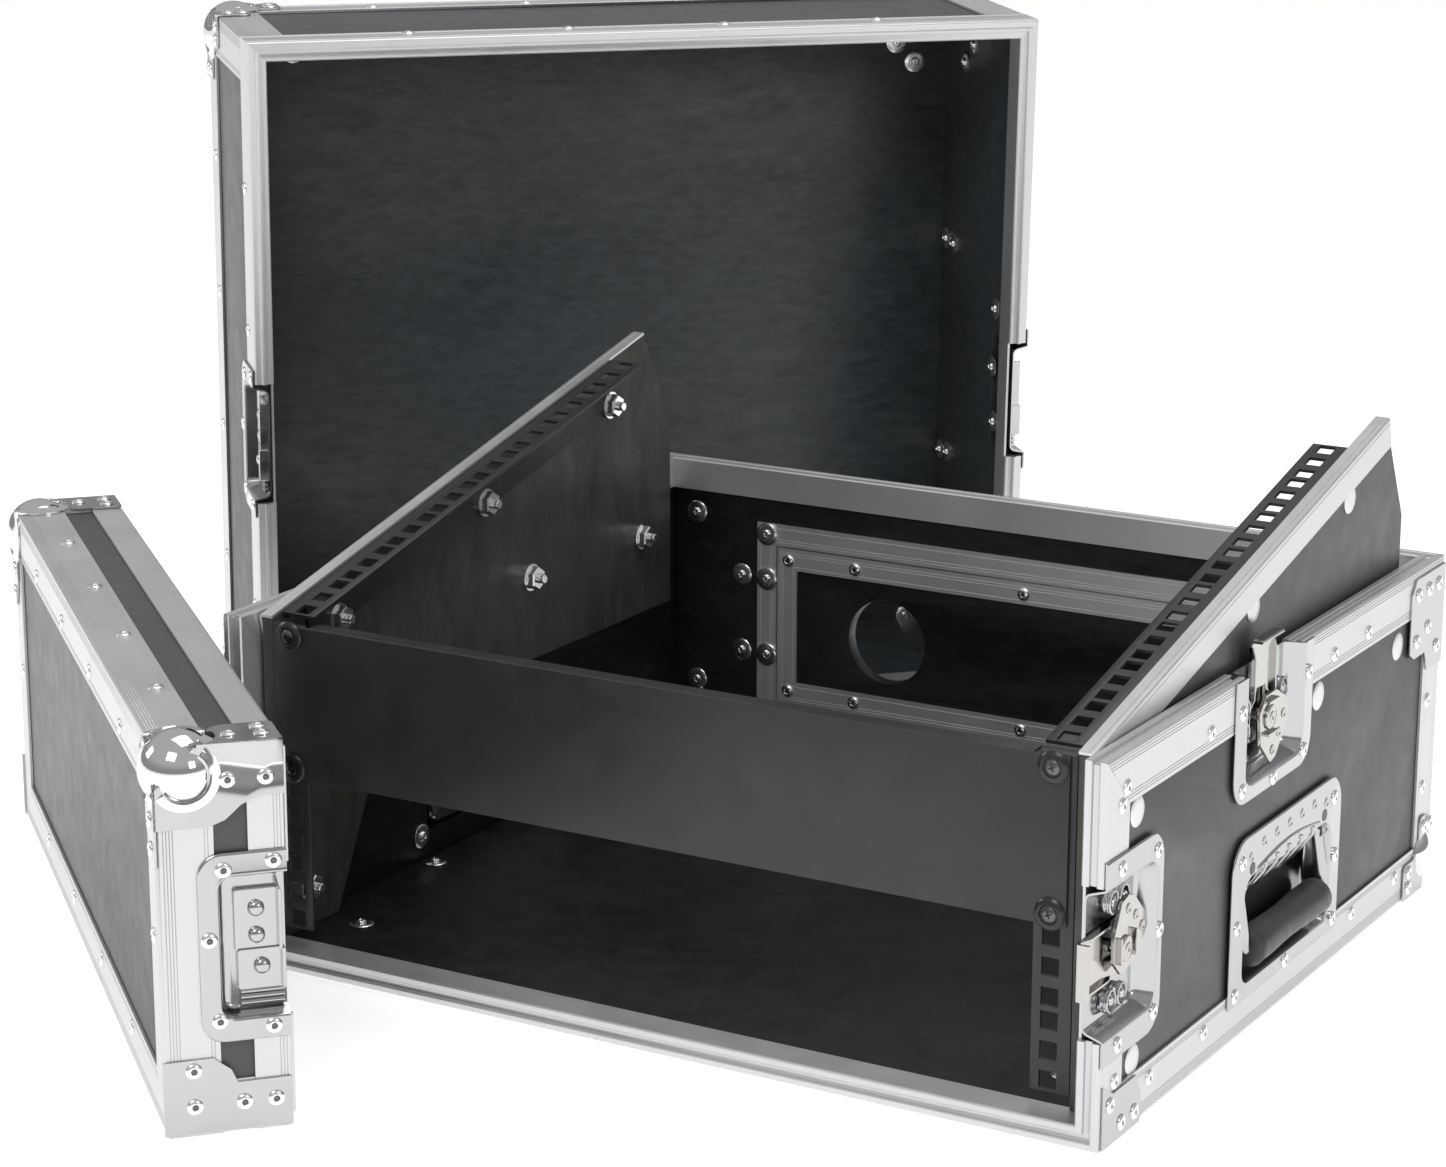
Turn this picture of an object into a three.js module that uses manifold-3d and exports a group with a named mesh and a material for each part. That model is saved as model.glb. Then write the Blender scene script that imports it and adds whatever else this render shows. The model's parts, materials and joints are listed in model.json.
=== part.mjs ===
// A 19-inch mixer and rack flight case, taken apart: open base, standing lid and standing front cover.
// Millimetres, +Z up. In each section X is the width, Y runs from the front to the back, Z is up.
import * as THREE from "three";
import { mergeVertices } from "three/addons/utils/BufferGeometryUtils.js";
import Module from "manifold-3d";

const wasm = await Module();
wasm.setup();

// ---- Driving sizes of the closed case ----
const CASE_WIDTH = 535;
const CASE_DEPTH = 475;
const BASE_HEIGHT = 203;
const LID_DEPTH = 160;
const COVER_DEPTH = 64;
const HALF_WIDTH = CASE_WIDTH / 2;

// ---- Boards and aluminium extrusions ----
const GAP = 0.3; // clearance between two pieces that touch
const BOARD = 9;
const SKIN = 1.5; // wall of an extrusion
const CAP = 3; // thick web of a rim extrusion, which carries the tongue or the groove
const EDGE_LEG = 28; // outer leg of every extrusion
const RIM_LEG = 20; // inner leg of a rim extrusion
const OUTER_FACE = SKIN + GAP; // depth of a board's outer face below the case's outer face
const INNER_FACE = OUTER_FACE + BOARD;
const WALL = INNER_FACE + GAP + SKIN;
const TONGUE_WIDTH = 3;
const TONGUE_HEIGHT = 2;
const GROOVE_CLEARANCE = 0.5;

// ---- 19-inch rack ----
const RACK_UNIT = 44.45;
const HOLE_STEP = 15.875;
const HOLES_PER_UNIT = 3;
const FIRST_HOLE = 6.35; // from the edge of a unit
const HOLE_SIZE = 9.5;
const HOLE_COLUMN = 465.1 / 2;
const RAIL_STEEL = 2;
const RAIL_FACE = 22;
const FRONT_RAIL_LEG = 18;
const SLANT_RAIL_LEG = 30;
const FRONT_UNITS = 4;
const SLANT_UNITS = 8;
const FRONT_RACK_Y = 15.5;
const FRONT_RACK_Z = 20.2;
const SLANT_ANGLE = THREE.MathUtils.degToRad(13.5);
const SLANT_Y = 24.4;
const SLANT_Z = 201.5;
const PANEL_WIDTH = 482.6;
const PANEL_UNITS = 2;
const PANEL_STEEL = 1.5;
const PANEL_LIP = 12;
const PANEL_PLAY = 0.4; // above and below the panel, within its rack units
const PANEL_LIP_INSET = 2; // from the rails to the ends of the panel's lips

// ---- Inner boards that carry the rails ----
const INNER_BOARD = 7;
const INNER_BOARD_X = HALF_WIDTH - WALL - 2.9; // outer face of the board
const INNER_BOARD_BACK = 441;
const INNER_BOARD_UNDERSIDE = 112;
const SLANT_TOP_Y = 409;
const SLANT_LEG = 16;
const FOOT_BACK = 70;
const FOOT_SPLAY = 50; // how far back the foot's rear edge slopes
const HEEL_Z = 232; // top of the boards' upright rear edge
const HEEL_SETBACK = 7; // bevel between the rear edge and the slanted top
const HEEL_DROP = 14;

// ---- Side hardware ----
const PLATE = 1.2; // sheet steel of dishes, corners and keepers
const TUB_DEPTH = 10.6; // latch and keeper dishes, which leave the inner leg of the rim whole
const LATCH_LENGTH = 107;
const LATCH_HEIGHT = 70;
const LATCH_TUB = 80;
const LATCH_SILL = 7;
const LATCH_RADIUS = 16; // flange corners away from the rim
const KEEPER_RADIUS = 8;
const SMALL_RADIUS = 3; // flange corners at the rim
const TOP_LATCH_Y = 212;
const FRONT_LATCH_Z = 98;
const HOOK_WIDTH = 30;
const HOOK_REACH = 13; // how far the hook stands past the rim
const HOOK_LIP = 8;
const HOOK_STEEL = 2;
const HOOK_X = -9; // inner face of the hook strip
const HOOK_TAIL = 12; // hook strip beyond the spindle
const SLOT_TAIL = 7; // slot in the hook strip, to each side of the spindle along the draw
const SLOT_TRAVEL = 16;
const SPINDLE_RADIUS = 4;
const WING_LENGTH = 46;
const WING_HEIGHT = 28;
const WING_X = -4; // inner face of the wing
const WING_STEEL = 2;
const WING_SHOULDER = 0.6; // where the wing's corners start, as a share of its half length
const WING_END = 0.4; // half height of the wing's ends, as a share of its half height
const RIB_HALF_THICKNESS = 1.2;
const RIB_STAND = 2.6;
const KEEPER_HEIGHT = 45;
const KEEPER_NARROWING = 4; // how much less than a latch the flange reaches at each end
const BAR_LOW = 4.4; // keeper bar, below the rim's edge
const BAR_HIGH = 1.8;
const BAR_CLEARANCE = 0.6; // between the bar and the hook strip
const HANDLE_Y = 240;
const HANDLE_Z = 20;
const HANDLE_LENGTH = 156;
const HANDLE_HEIGHT = 93;
const HANDLE_TUB_LENGTH = 126;
const HANDLE_TUB_LOW = 8.5;
const HANDLE_TUB_HIGH = 70;
const HANDLE_TUB_DEPTH = 15;
const HANDLE_RADIUS = 18; // upper corners of the flange
const PIVOT_BELOW_TUB_TOP = 7;
const PIVOT_X = -5;
const GRIP_X = -1;
const ARM_INSET = 5; // from the tub's end wall to the middle of an arm
const EYE_WIDTH = 6;
const GRIP_RADIUS = 10.5;
const GRIP_DROP = 36;
const BAIL_RADIUS = 4;

// ---- Ball corners ----
const BALL_RADIUS = 19;
const BALL_OUT = 6; // how far a ball stands past the faces
const BALL_LEG = 44;
const BALL_LEG_END = 22;
const BALL_TRIM = 18; // what is cut off the corner beneath a ball

// ---- Rear access door ----
const DOOR_HALF_WIDTH = 177.8;
const DOOR_LOW = 47;
const DOOR_HIGH = 153;
const DOOR_FRAME = 14.2;
const DOOR_CLEARANCE = 1;
const CABLE_HOLE_RADIUS = 27.5;
const CABLE_HOLE_X = -97;
const CABLE_HOLE_Z = 99;
const HINGE_BARREL = 3.4;
const HINGE_PIN = 1.5;
const HINGE_LEAF = 22;
const HINGE_HEIGHT = 75;
const HINGE_Z = 103;
const HINGE_X = -DOOR_HALF_WIDTH + DOOR_CLEARANCE / 2;
const LEAF_PLAY = 0.4; // between a hinge leaf and the barrel
const KNUCKLE_WEB = 1; // how far a knuckle's web runs into its leaf
const CATCH_X = 160;
const CATCH_Z = 100;
const CATCH_SPINDLE = 4;
const KNOB_RADIUS = 11;
const KNOB_THICKNESS = 4;
const THUMB_HALF_LENGTH = 10;
const THUMB_HALF_THICKNESS = 2;
const THUMB_STAND = 8;
const CATCH_BLADE_HALF = 6;
const CATCH_BLADE_REACH = 26;
const CATCH_BLADE_STEEL = 2;

// ---- Where the lid and the cover stand ----
const LID_YAW = THREE.MathUtils.degToRad(46.56);
const LID_LEAN = Math.asin(BALL_OUT / (LID_DEPTH - BALL_RADIUS + BALL_OUT));
const LID_X = -309.5;
const LID_Y = 518.9;
const COVER_YAW = THREE.MathUtils.degToRad(138.17);
const COVER_RIM_LEG = 19; // outer leg of the front cover's rim
const COVER_X = -295.8;
const COVER_Y = 6.9;

const FAR = 1000; // longer than the case, for cutting tools

// ---- Materials ----
const metal = (color, roughness) => new THREE.MeshStandardMaterial({ color, roughness, metalness: 1 });
const matt = (color, roughness) => new THREE.MeshStandardMaterial({ color, roughness, metalness: 0 });
const laminate = matt(0x4a4b4f, 0.5);
const stainedBoard = matt(0x1d1d1c, 0.75);
const aluminium = metal(0xc4c6c9, 0.35);
const chrome = metal(0xdadcde, 0.12);
const nickel = metal(0xb9b2a8, 0.25);
const blackSteel = matt(0x222325, 0.55);
const rubber = matt(0x2a2b2e, 0.8);

// ---- Geometry helpers ----

// A closed geometry as a manifold-3d solid.
function solidOf(geometry) {
  const bare = geometry.clone();
  bare.deleteAttribute("normal");
  bare.deleteAttribute("uv");
  const merged = mergeVertices(bare, 1e-4);
  return new wasm.Manifold(
    new wasm.Mesh({
      numProp: 3,
      vertProperties: new Float32Array(merged.attributes.position.array),
      triVerts: new Uint32Array(merged.index.array),
    }),
  );
}

function geometryOf(solid) {
  const mesh = solid.getMesh();
  const geometry = new THREE.BufferGeometry();
  geometry.setAttribute("position", new THREE.BufferAttribute(mesh.vertProperties, 3));
  geometry.setIndex(new THREE.BufferAttribute(mesh.triVerts, 1));
  geometry.computeVertexNormals();
  return geometry;
}

const join = (...pieces) => geometryOf(pieces.map(solidOf).reduce((sum, next) => sum.add(next)));
const cut = (piece, ...tools) =>
  geometryOf(tools.map(solidOf).reduce((rest, tool) => rest.subtract(tool), solidOf(piece)));

// A box between two opposite corners.
function block([x0, y0, z0], [x1, y1, z1]) {
  const box = new THREE.BoxGeometry(x1 - x0, y1 - y0, z1 - z0);
  return box.translate((x0 + x1) / 2, (y0 + y1) / 2, (z0 + z1) / 2);
}

function shapeOf(points) {
  return new THREE.Shape(points.map(([a, b]) => new THREE.Vector2(a, b)));
}

// An outline drawn in Y and Z, extruded along X from x0 to x1.
function sidePlate(shape, x0, x1) {
  const plate = new THREE.ExtrudeGeometry(shape, { depth: x1 - x0, bevelEnabled: false, curveSegments: 6 });
  return plate.rotateX(Math.PI / 2).rotateZ(Math.PI / 2).translate(x0, 0, 0);
}

function roundedRectangle(a0, b0, a1, b1, lowRadius, highRadius) {
  const shape = new THREE.Shape();
  shape.moveTo(a0 + lowRadius, b0);
  shape.lineTo(a1 - lowRadius, b0);
  shape.absarc(a1 - lowRadius, b0 + lowRadius, lowRadius, -Math.PI / 2, 0);
  shape.lineTo(a1, b1 - highRadius);
  shape.absarc(a1 - highRadius, b1 - highRadius, highRadius, 0, Math.PI / 2);
  shape.lineTo(a0 + highRadius, b1);
  shape.absarc(a0 + highRadius, b1 - highRadius, highRadius, Math.PI / 2, Math.PI);
  shape.lineTo(a0, b0 + lowRadius);
  shape.absarc(a0 + lowRadius, b0 + lowRadius, lowRadius, Math.PI, 1.5 * Math.PI);
  return shape;
}

function rod(radius, length, axis, centre, sides = 16) {
  const cylinder = new THREE.CylinderGeometry(radius, radius, length, sides);
  if (axis === "x") cylinder.rotateZ(Math.PI / 2);
  if (axis === "z") cylinder.rotateX(Math.PI / 2);
  return cylinder.translate(...centre);
}

// The half space beyond the plane that takes `inset` off the three edges at a corner.
function cornerTool(corner, outward, inset) {
  const normal = new THREE.Vector3(...outward).normalize();
  const face = new THREE.Vector3(...corner).addScaledVector(normal, -inset / Math.sqrt(3));
  const box = new THREE.BoxGeometry(FAR / 4, FAR / 4, FAR / 4).translate(0, 0, FAR / 8);
  box.applyQuaternion(new THREE.Quaternion().setFromUnitVectors(new THREE.Vector3(0, 0, 1), normal));
  return box.translate(face.x, face.y, face.z);
}

function part(name, geometry, material) {
  const mesh = new THREE.Mesh(geometry, material);
  mesh.name = name;
  return mesh;
}

function groupOf(...children) {
  const group = new THREE.Group();
  group.add(...children.flat());
  return group;
}

// ---- Ball corner: a pressed steel ball with a leg on each face it wraps ----
// `corner` is the case's corner, `outward` its direction, and `out` how far the ball stands past each face.
// A corner that rests on the floor has no leg underneath, and nothing of it goes below the floor.
function ballCorner(corner, outward, out) {
  const onFloor = out[2] === 0;
  const centre = corner.map((c, i) => c - outward[i] * (BALL_RADIUS - out[i]));
  const ball = new THREE.SphereGeometry(BALL_RADIUS, 20, 12).translate(...centre);
  const wrap = -GAP - PLATE;
  const outline = shapeOf([
    [wrap, wrap],
    [BALL_LEG, wrap],
    [BALL_LEG, BALL_LEG_END],
    [BALL_LEG_END, BALL_LEG],
    [wrap, BALL_LEG],
  ]);
  const legs = (onFloor ? [0, 1] : [0, 1, 2]).map((axis) => {
    const along = [0, 1, 2].filter((i) => i !== axis);
    const columns = [...along, axis].map((i, n) => {
      const direction = n === 2 ? outward[i] : -outward[i];
      return new THREE.Vector3().setComponent(i, direction);
    });
    const position = [...corner];
    position[axis] += outward[axis] * GAP;
    const place = new THREE.Matrix4().makeBasis(...columns).setPosition(...position);
    const plate = new THREE.ExtrudeGeometry(outline, { depth: PLATE, bevelEnabled: false }).applyMatrix4(place);
    return place.determinant() < 0 ? turned(plate) : plate;
  });
  const inside = corner.map((c, i) => c - outward[i] * FAR);
  const outside = corner.map((c, i) => c + outward[i] * GAP);
  const low = inside.map((c, i) => Math.min(c, outside[i]));
  const high = inside.map((c, i) => Math.max(c, outside[i]));
  const body = cut(block(low, high), cornerTool(corner, outward, BALL_TRIM - 1));
  const tools = onFloor ? [body, block([-FAR, -FAR, -FAR], [FAR, FAR, 0])] : [body];
  return cut(join(ball, ...legs), ...tools);
}

// A geometry with its faces turned round, for a shape placed by a mirroring matrix.
function turned(geometry) {
  const flat = geometry.index ? geometry.toNonIndexed() : geometry;
  const positions = flat.attributes.position.array;
  for (let i = 0; i < positions.length; i += 9) {
    for (let k = 0; k < 3; k += 1) {
      [positions[i + 3 + k], positions[i + 6 + k]] = [positions[i + 6 + k], positions[i + 3 + k]];
    }
  }
  return flat;
}

// The same geometry on the other side of the case.
const mirrorX = (geometry) => turned(geometry.clone().scale(-1, 1, 1));
const bothSides = (pieces) => [...pieces, ...pieces.map(mirrorX)];

// ---- Side hardware, drawn on the right side: Y along the side, Z up, X outwards from the face at x = 0 ----

// A recessed dish with a flange round it.
// `tub` is its low and high end along Y and Z, and it is hollow up to `openTo`.
function dish(flange, tub, depth, openTo) {
  const [y0, z0, y1, z1] = tub;
  const plate = sidePlate(flange, GAP, GAP + PLATE);
  const shell = block([-depth, y0, z0], [GAP + PLATE, y1, z1]);
  const hollow = block([-depth + PLATE, y0 + PLATE, z0 + PLATE], [FAR, y1 - PLATE, openTo]);
  return cut(join(plate, shell), hollow);
}

const latchHalf = LATCH_LENGTH / 2;
const tubHalf = LATCH_TUB / 2;
const hookHalf = HOOK_WIDTH / 2;
const spindleZ = 38;

// The rim's edge is at z = LATCH_HEIGHT, and the hook leaves that way.
function latchDish() {
  const flange = roundedRectangle(-latchHalf, 0, latchHalf, LATCH_HEIGHT - GAP, LATCH_RADIUS, SMALL_RADIUS);
  return dish(flange, [-tubHalf, LATCH_SILL, tubHalf, LATCH_HEIGHT - GAP], TUB_DEPTH, FAR);
}

// A strip with a turned-out lip, slotted for the spindle that drives it.
function latchHook() {
  const top = LATCH_HEIGHT + HOOK_REACH;
  const outer = HOOK_X + HOOK_STEEL;
  const arm = block([HOOK_X, -hookHalf, spindleZ - HOOK_TAIL], [outer, hookHalf, top]);
  const lip = block([HOOK_X, -hookHalf, top - HOOK_STEEL], [HOOK_X + HOOK_LIP, hookHalf, top]);
  const slotHalf = SPINDLE_RADIUS + 1;
  const slot = block([-FAR, -slotHalf, spindleZ - SLOT_TAIL], [FAR, slotHalf, spindleZ + SLOT_TRAVEL]);
  return cut(join(arm, lip), slot);
}

// The butterfly wing, with the spindle behind it and a finger rib in front.
function latchWing() {
  const [a, b] = [WING_LENGTH / 2, WING_HEIGHT / 2];
  const end = b * WING_END;
  const shoulder = a * WING_SHOULDER;
  const quarter = [[a, -end], [a, end], [shoulder, b], [-shoulder, b]];
  const outline = shapeOf([...quarter, ...quarter.map(([y, z]) => [-y, -z])]);
  const outer = WING_X + WING_STEEL;
  const blade = sidePlate(outline, WING_X, outer);
  const spindleLength = WING_X + 1 - HOOK_X;
  const spindle = rod(SPINDLE_RADIUS, spindleLength, "x", [HOOK_X + spindleLength / 2, 0, 0]);
  const rib = block([outer - GAP, -a / 2, -RIB_HALF_THICKNESS], [outer + RIB_STAND, a / 2, RIB_HALF_THICKNESS]);
  return join(blade, spindle, rib).translate(0, 0, spindleZ);
}

// The dish that a hook reaches into, with the bar that it pulls on.
function keeperDish() {
  const half = latchHalf - KEEPER_NARROWING;
  const top = KEEPER_HEIGHT - GAP;
  const flange = roundedRectangle(-half, 0, half, top, KEEPER_RADIUS, SMALL_RADIUS);
  const shell = dish(flange, [-tubHalf, LATCH_SILL, tubHalf, top], TUB_DEPTH, FAR);
  const barInner = HOOK_X + HOOK_STEEL + BAR_CLEARANCE;
  const barHalf = tubHalf - GAP;
  const bar = block([barInner, -barHalf, KEEPER_HEIGHT - BAR_LOW], [-GAP, barHalf, KEEPER_HEIGHT - BAR_HIGH]);
  return join(shell, bar);
}

// The room a latch or keeper tub takes out of boards and extrusions.
function tubRoom(height) {
  return block([-TUB_DEPTH - GAP, -tubHalf - GAP, LATCH_SILL - GAP], [FAR, tubHalf + GAP, height + FAR]);
}

const handleTub = [-HANDLE_TUB_LENGTH / 2, HANDLE_TUB_LOW, HANDLE_TUB_LENGTH / 2, HANDLE_TUB_HIGH];
const pivotZ = HANDLE_TUB_HIGH - PIVOT_BELOW_TUB_TOP;
const gripZ = pivotZ - GRIP_DROP;
const armY = HANDLE_TUB_LENGTH / 2 - PLATE - ARM_INSET;

function handleDish() {
  const half = HANDLE_LENGTH / 2;
  const flange = roundedRectangle(-half, 0, half, HANDLE_HEIGHT, SMALL_RADIUS, HANDLE_RADIUS);
  return dish(flange, handleTub, HANDLE_TUB_DEPTH, HANDLE_TUB_HIGH - PLATE);
}

function handleBail() {
  const drop = Math.hypot(GRIP_DROP, GRIP_X - PIVOT_X);
  const lean = Math.atan2(GRIP_X - PIVOT_X, GRIP_DROP);
  const arms = [-armY, armY].map((y) =>
    rod(BAIL_RADIUS, drop, "z", [0, 0, 0], 12)
      .rotateY(-lean)
      .translate((PIVOT_X + GRIP_X) / 2, y, (pivotZ + gripZ) / 2),
  );
  const bends = [-armY, armY].map((y) =>
    new THREE.SphereGeometry(BAIL_RADIUS, 12, 8).translate(GRIP_X, y, gripZ),
  );
  const bar = rod(BAIL_RADIUS, 2 * armY, "y", [GRIP_X, 0, gripZ], 12);
  const eyes = [-armY - 1, armY + 1].map((y) => rod(BAIL_RADIUS + 1, EYE_WIDTH, "y", [PIVOT_X, y, pivotZ], 12));
  return join(bar, ...arms, ...bends, ...eyes);
}

function handleGrip() {
  const length = 2 * (armY - BAIL_RADIUS - 1.5);
  const sleeve = rod(GRIP_RADIUS, length, "y", [GRIP_X, 0, gripZ], 24);
  return cut(sleeve, rod(BAIL_RADIUS + GAP, FAR, "y", [GRIP_X, 0, gripZ], 12));
}

function handleRoom() {
  const [y0, z0, y1, z1] = handleTub;
  return block([-HANDLE_TUB_DEPTH - GAP, y0 - GAP, z0 - GAP], [FAR, y1 + GAP, z1 + GAP]);
}

// Puts a piece of side hardware where it belongs on the right side of the base.
const onTopEdge = (geometry) => geometry.translate(HALF_WIDTH, TOP_LATCH_Y, BASE_HEIGHT - LATCH_HEIGHT);
const onFrontEdge = (geometry) =>
  geometry.rotateX(Math.PI / 2).translate(HALF_WIDTH, LATCH_HEIGHT, FRONT_LATCH_Z);
const onHandle = (geometry) => geometry.translate(HALF_WIDTH, HANDLE_Y, HANDLE_Z);

// ---- Base: boards ----

const boardOut = HALF_WIDTH - OUTER_FACE;
const boardIn = HALF_WIDTH - INNER_FACE;
const rimIn = HALF_WIDTH - WALL;
const rackHole = (index) =>
  FIRST_HOLE + Math.floor(index / HOLES_PER_UNIT) * RACK_UNIT + (index % HOLES_PER_UNIT) * HOLE_STEP;

const rearCorner = (side) => [side * HALF_WIDTH, CASE_DEPTH, 0];
const rearBallTrim = (side) => cornerTool(rearCorner(side), [side, 1, -1], BALL_TRIM);

function sideBoard() {
  const board = block(
    [boardIn, CAP + GAP, OUTER_FACE],
    [boardOut, CASE_DEPTH - OUTER_FACE, BASE_HEIGHT - CAP - GAP],
  );
  const latchRooms = [onTopEdge(tubRoom(LATCH_HEIGHT)), onFrontEdge(tubRoom(LATCH_HEIGHT))];
  return cut(board, ...latchRooms, onHandle(handleRoom()), rearBallTrim(1));
}

function floorBoard() {
  return block(
    [-boardIn + GAP, CAP + GAP, OUTER_FACE],
    [boardIn - GAP, CASE_DEPTH - INNER_FACE - GAP, INNER_FACE],
  );
}

function rearBoard() {
  const board = block(
    [-boardIn + GAP, CASE_DEPTH - INNER_FACE, OUTER_FACE],
    [boardIn - GAP, CASE_DEPTH - OUTER_FACE, BASE_HEIGHT - CAP - GAP],
  );
  const half = DOOR_HALF_WIDTH + SKIN + GAP;
  return cut(board, block([-half, 0, DOOR_LOW - SKIN - GAP], [half, FAR, DOOR_HIGH + SKIN + GAP]));
}

// ---- Base: extrusions ----

// The top rim and the front frame meet in a mitre, the plane y + z = BASE_HEIGHT.
// Each is cut a little short of it.
const aboveMitre = () => {
  const line = BASE_HEIGHT - GAP;
  return sidePlate(shapeOf([[-FAR, line + FAR], [line + FAR, -FAR], [FAR, FAR]]), -FAR, FAR);
};
const belowMitre = () => {
  const line = BASE_HEIGHT;
  return sidePlate(shapeOf([[-FAR, line + FAR], [-FAR, -FAR], [line + FAR, -FAR]]), -FAR, FAR);
};

function topRim() {
  const top = BASE_HEIGHT;
  const back = CASE_DEPTH;
  const right = [
    block([HALF_WIDTH - SKIN, 0, top - EDGE_LEG], [HALF_WIDTH, back, top]),
    block([rimIn, 0, top - CAP], [HALF_WIDTH, back, top]),
    block([rimIn, 0, top - RIM_LEG], [rimIn + SKIN, back - WALL + SKIN, top]),
  ];
  const rear = [
    block([-HALF_WIDTH, back - SKIN, top - EDGE_LEG], [HALF_WIDTH, back, top]),
    block([-HALF_WIDTH, back - WALL, top - CAP], [HALF_WIDTH, back, top]),
    block([-rimIn, back - WALL, top - RIM_LEG], [rimIn, back - WALL + SKIN, top]),
  ];
  const half = TONGUE_WIDTH / 2 + GROOVE_CLEARANCE;
  const inset = WALL / 2;
  const bottom = top - TONGUE_HEIGHT - GROOVE_CLEARANCE;
  const sideLine = HALF_WIDTH - inset;
  const grooves = [
    ...bothSides([block([sideLine - half, -FAR, bottom], [sideLine + half, back - inset + half, FAR])]),
    block([-sideLine, back - inset - half, bottom], [sideLine, back - inset + half, FAR]),
  ];
  const rooms = bothSides([onTopEdge(tubRoom(LATCH_HEIGHT))]);
  return cut(join(...bothSides(right), ...rear), ...grooves, ...rooms, belowMitre());
}

function frontFrame() {
  const right = [
    block([HALF_WIDTH - SKIN, 0, 0], [HALF_WIDTH, EDGE_LEG, BASE_HEIGHT]),
    block([rimIn, 0, 0], [HALF_WIDTH, CAP, BASE_HEIGHT]),
    block([rimIn, 0, WALL - SKIN], [rimIn + SKIN, RIM_LEG, BASE_HEIGHT]),
  ];
  const sill = [
    block([-HALF_WIDTH, 0, 0], [HALF_WIDTH, CAP, WALL]),
    block([-HALF_WIDTH, 0, 0], [HALF_WIDTH, EDGE_LEG, SKIN]),
    block([-rimIn - SKIN, 0, WALL - SKIN], [rimIn + SKIN, RIM_LEG, WALL]),
  ];
  const rooms = bothSides([onFrontEdge(tubRoom(LATCH_HEIGHT))]);
  return cut(join(...bothSides(right), ...sill), ...rooms, aboveMitre());
}

function baseEdging() {
  const start = EDGE_LEG + GAP;
  const back = CASE_DEPTH;
  const top = BASE_HEIGHT - EDGE_LEG - GAP;
  const right = [
    block([HALF_WIDTH - SKIN, start, 0], [HALF_WIDTH, back, EDGE_LEG]),
    block([HALF_WIDTH - EDGE_LEG, start, 0], [HALF_WIDTH, back, SKIN]),
    block([HALF_WIDTH - SKIN, back - EDGE_LEG, 0], [HALF_WIDTH, back, top]),
    block([HALF_WIDTH - EDGE_LEG, back - SKIN, 0], [HALF_WIDTH, back, top]),
  ];
  const rear = [
    block([-HALF_WIDTH, back - SKIN, 0], [HALF_WIDTH, back, EDGE_LEG]),
    block([-HALF_WIDTH, back - EDGE_LEG, 0], [HALF_WIDTH, back, SKIN]),
  ];
  return cut(join(...bothSides(right), ...rear), rearBallTrim(1), rearBallTrim(-1));
}

// ---- Base: rack ----

const slope = Math.tan(SLANT_ANGLE);
const slantZ = (y) => SLANT_Z + (y - SLANT_Y) * slope;
const innerBoardIn = INNER_BOARD_X - INNER_BOARD;
const railOut = innerBoardIn - GAP;

// A rail lying along +Y from the edge of its first unit, its face up and its leg down.
// legStart leaves the first stretch without a leg, so that two rails can meet at a corner.
function rail(units, legHeight, legStart) {
  const length = units * RACK_UNIT;
  const face = block([railOut - RAIL_FACE, 0, -RAIL_STEEL], [railOut, length, 0]);
  const leg = block([railOut - RAIL_STEEL, legStart, -legHeight], [railOut, length, 0]);
  const half = HOLE_SIZE / 2;
  const holes = Array.from({ length: units * HOLES_PER_UNIT }, (_, index) => {
    const y = rackHole(index);
    return block([HOLE_COLUMN - half, y - half, -FAR], [HOLE_COLUMN + half, y + half, FAR]);
  });
  return cut(join(face, leg), ...holes);
}

const frontRail = () =>
  rail(FRONT_UNITS, FRONT_RAIL_LEG, 0)
    .rotateX(Math.PI / 2)
    .translate(0, FRONT_RACK_Y, FRONT_RACK_Z);
const slantRail = () =>
  rail(SLANT_UNITS, SLANT_RAIL_LEG, FRONT_RAIL_LEG)
    .rotateX(SLANT_ANGLE)
    .translate(0, SLANT_Y, SLANT_Z);

function innerBoard() {
  const outline = shapeOf([
    [FRONT_RACK_Y, INNER_FACE + GAP],
    [FOOT_BACK, INNER_FACE + GAP],
    [FOOT_BACK + FOOT_SPLAY, INNER_BOARD_UNDERSIDE],
    [INNER_BOARD_BACK, INNER_BOARD_UNDERSIDE],
    [INNER_BOARD_BACK, HEEL_Z],
    [SLANT_TOP_Y + HEEL_SETBACK, slantZ(SLANT_TOP_Y) - HEEL_DROP],
    [SLANT_TOP_Y, slantZ(SLANT_TOP_Y)],
    [FRONT_RACK_Y, slantZ(FRONT_RACK_Y)],
  ]);
  const sill = block([0, 0, 0], [FAR, RIM_LEG + GAP, WALL + GAP]);
  return cut(sidePlate(outline, innerBoardIn, INNER_BOARD_X), sill);
}

function slantEdging() {
  const length = (SLANT_TOP_Y - FRONT_RACK_Y) / Math.cos(SLANT_ANGLE);
  const out = INNER_BOARD_X + GAP + SKIN;
  const cap = block([innerBoardIn, 0, GAP], [out, length, GAP + SKIN]);
  const leg = block([INNER_BOARD_X + GAP, 0, -SLANT_LEG], [out, length, GAP + SKIN]);
  return join(cap, leg).rotateX(SLANT_ANGLE).translate(0, FRONT_RACK_Y, slantZ(FRONT_RACK_Y));
}

function blankPanel() {
  const low = FRONT_RACK_Z + (FRONT_UNITS - PANEL_UNITS) * RACK_UNIT + PANEL_PLAY;
  const high = FRONT_RACK_Z + FRONT_UNITS * RACK_UNIT - PANEL_PLAY;
  const back = FRONT_RACK_Y - GAP;
  const front = back - PANEL_STEEL;
  const lipHalf = railOut - RAIL_FACE - PANEL_LIP_INSET;
  return join(
    block([-PANEL_WIDTH / 2, front, low], [PANEL_WIDTH / 2, back, high]),
    block([-lipHalf, front, high - PANEL_STEEL], [lipHalf, front + PANEL_LIP, high]),
    block([-lipHalf, front, low], [lipHalf, front + PANEL_LIP, low + PANEL_STEEL]),
  );
}

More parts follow.
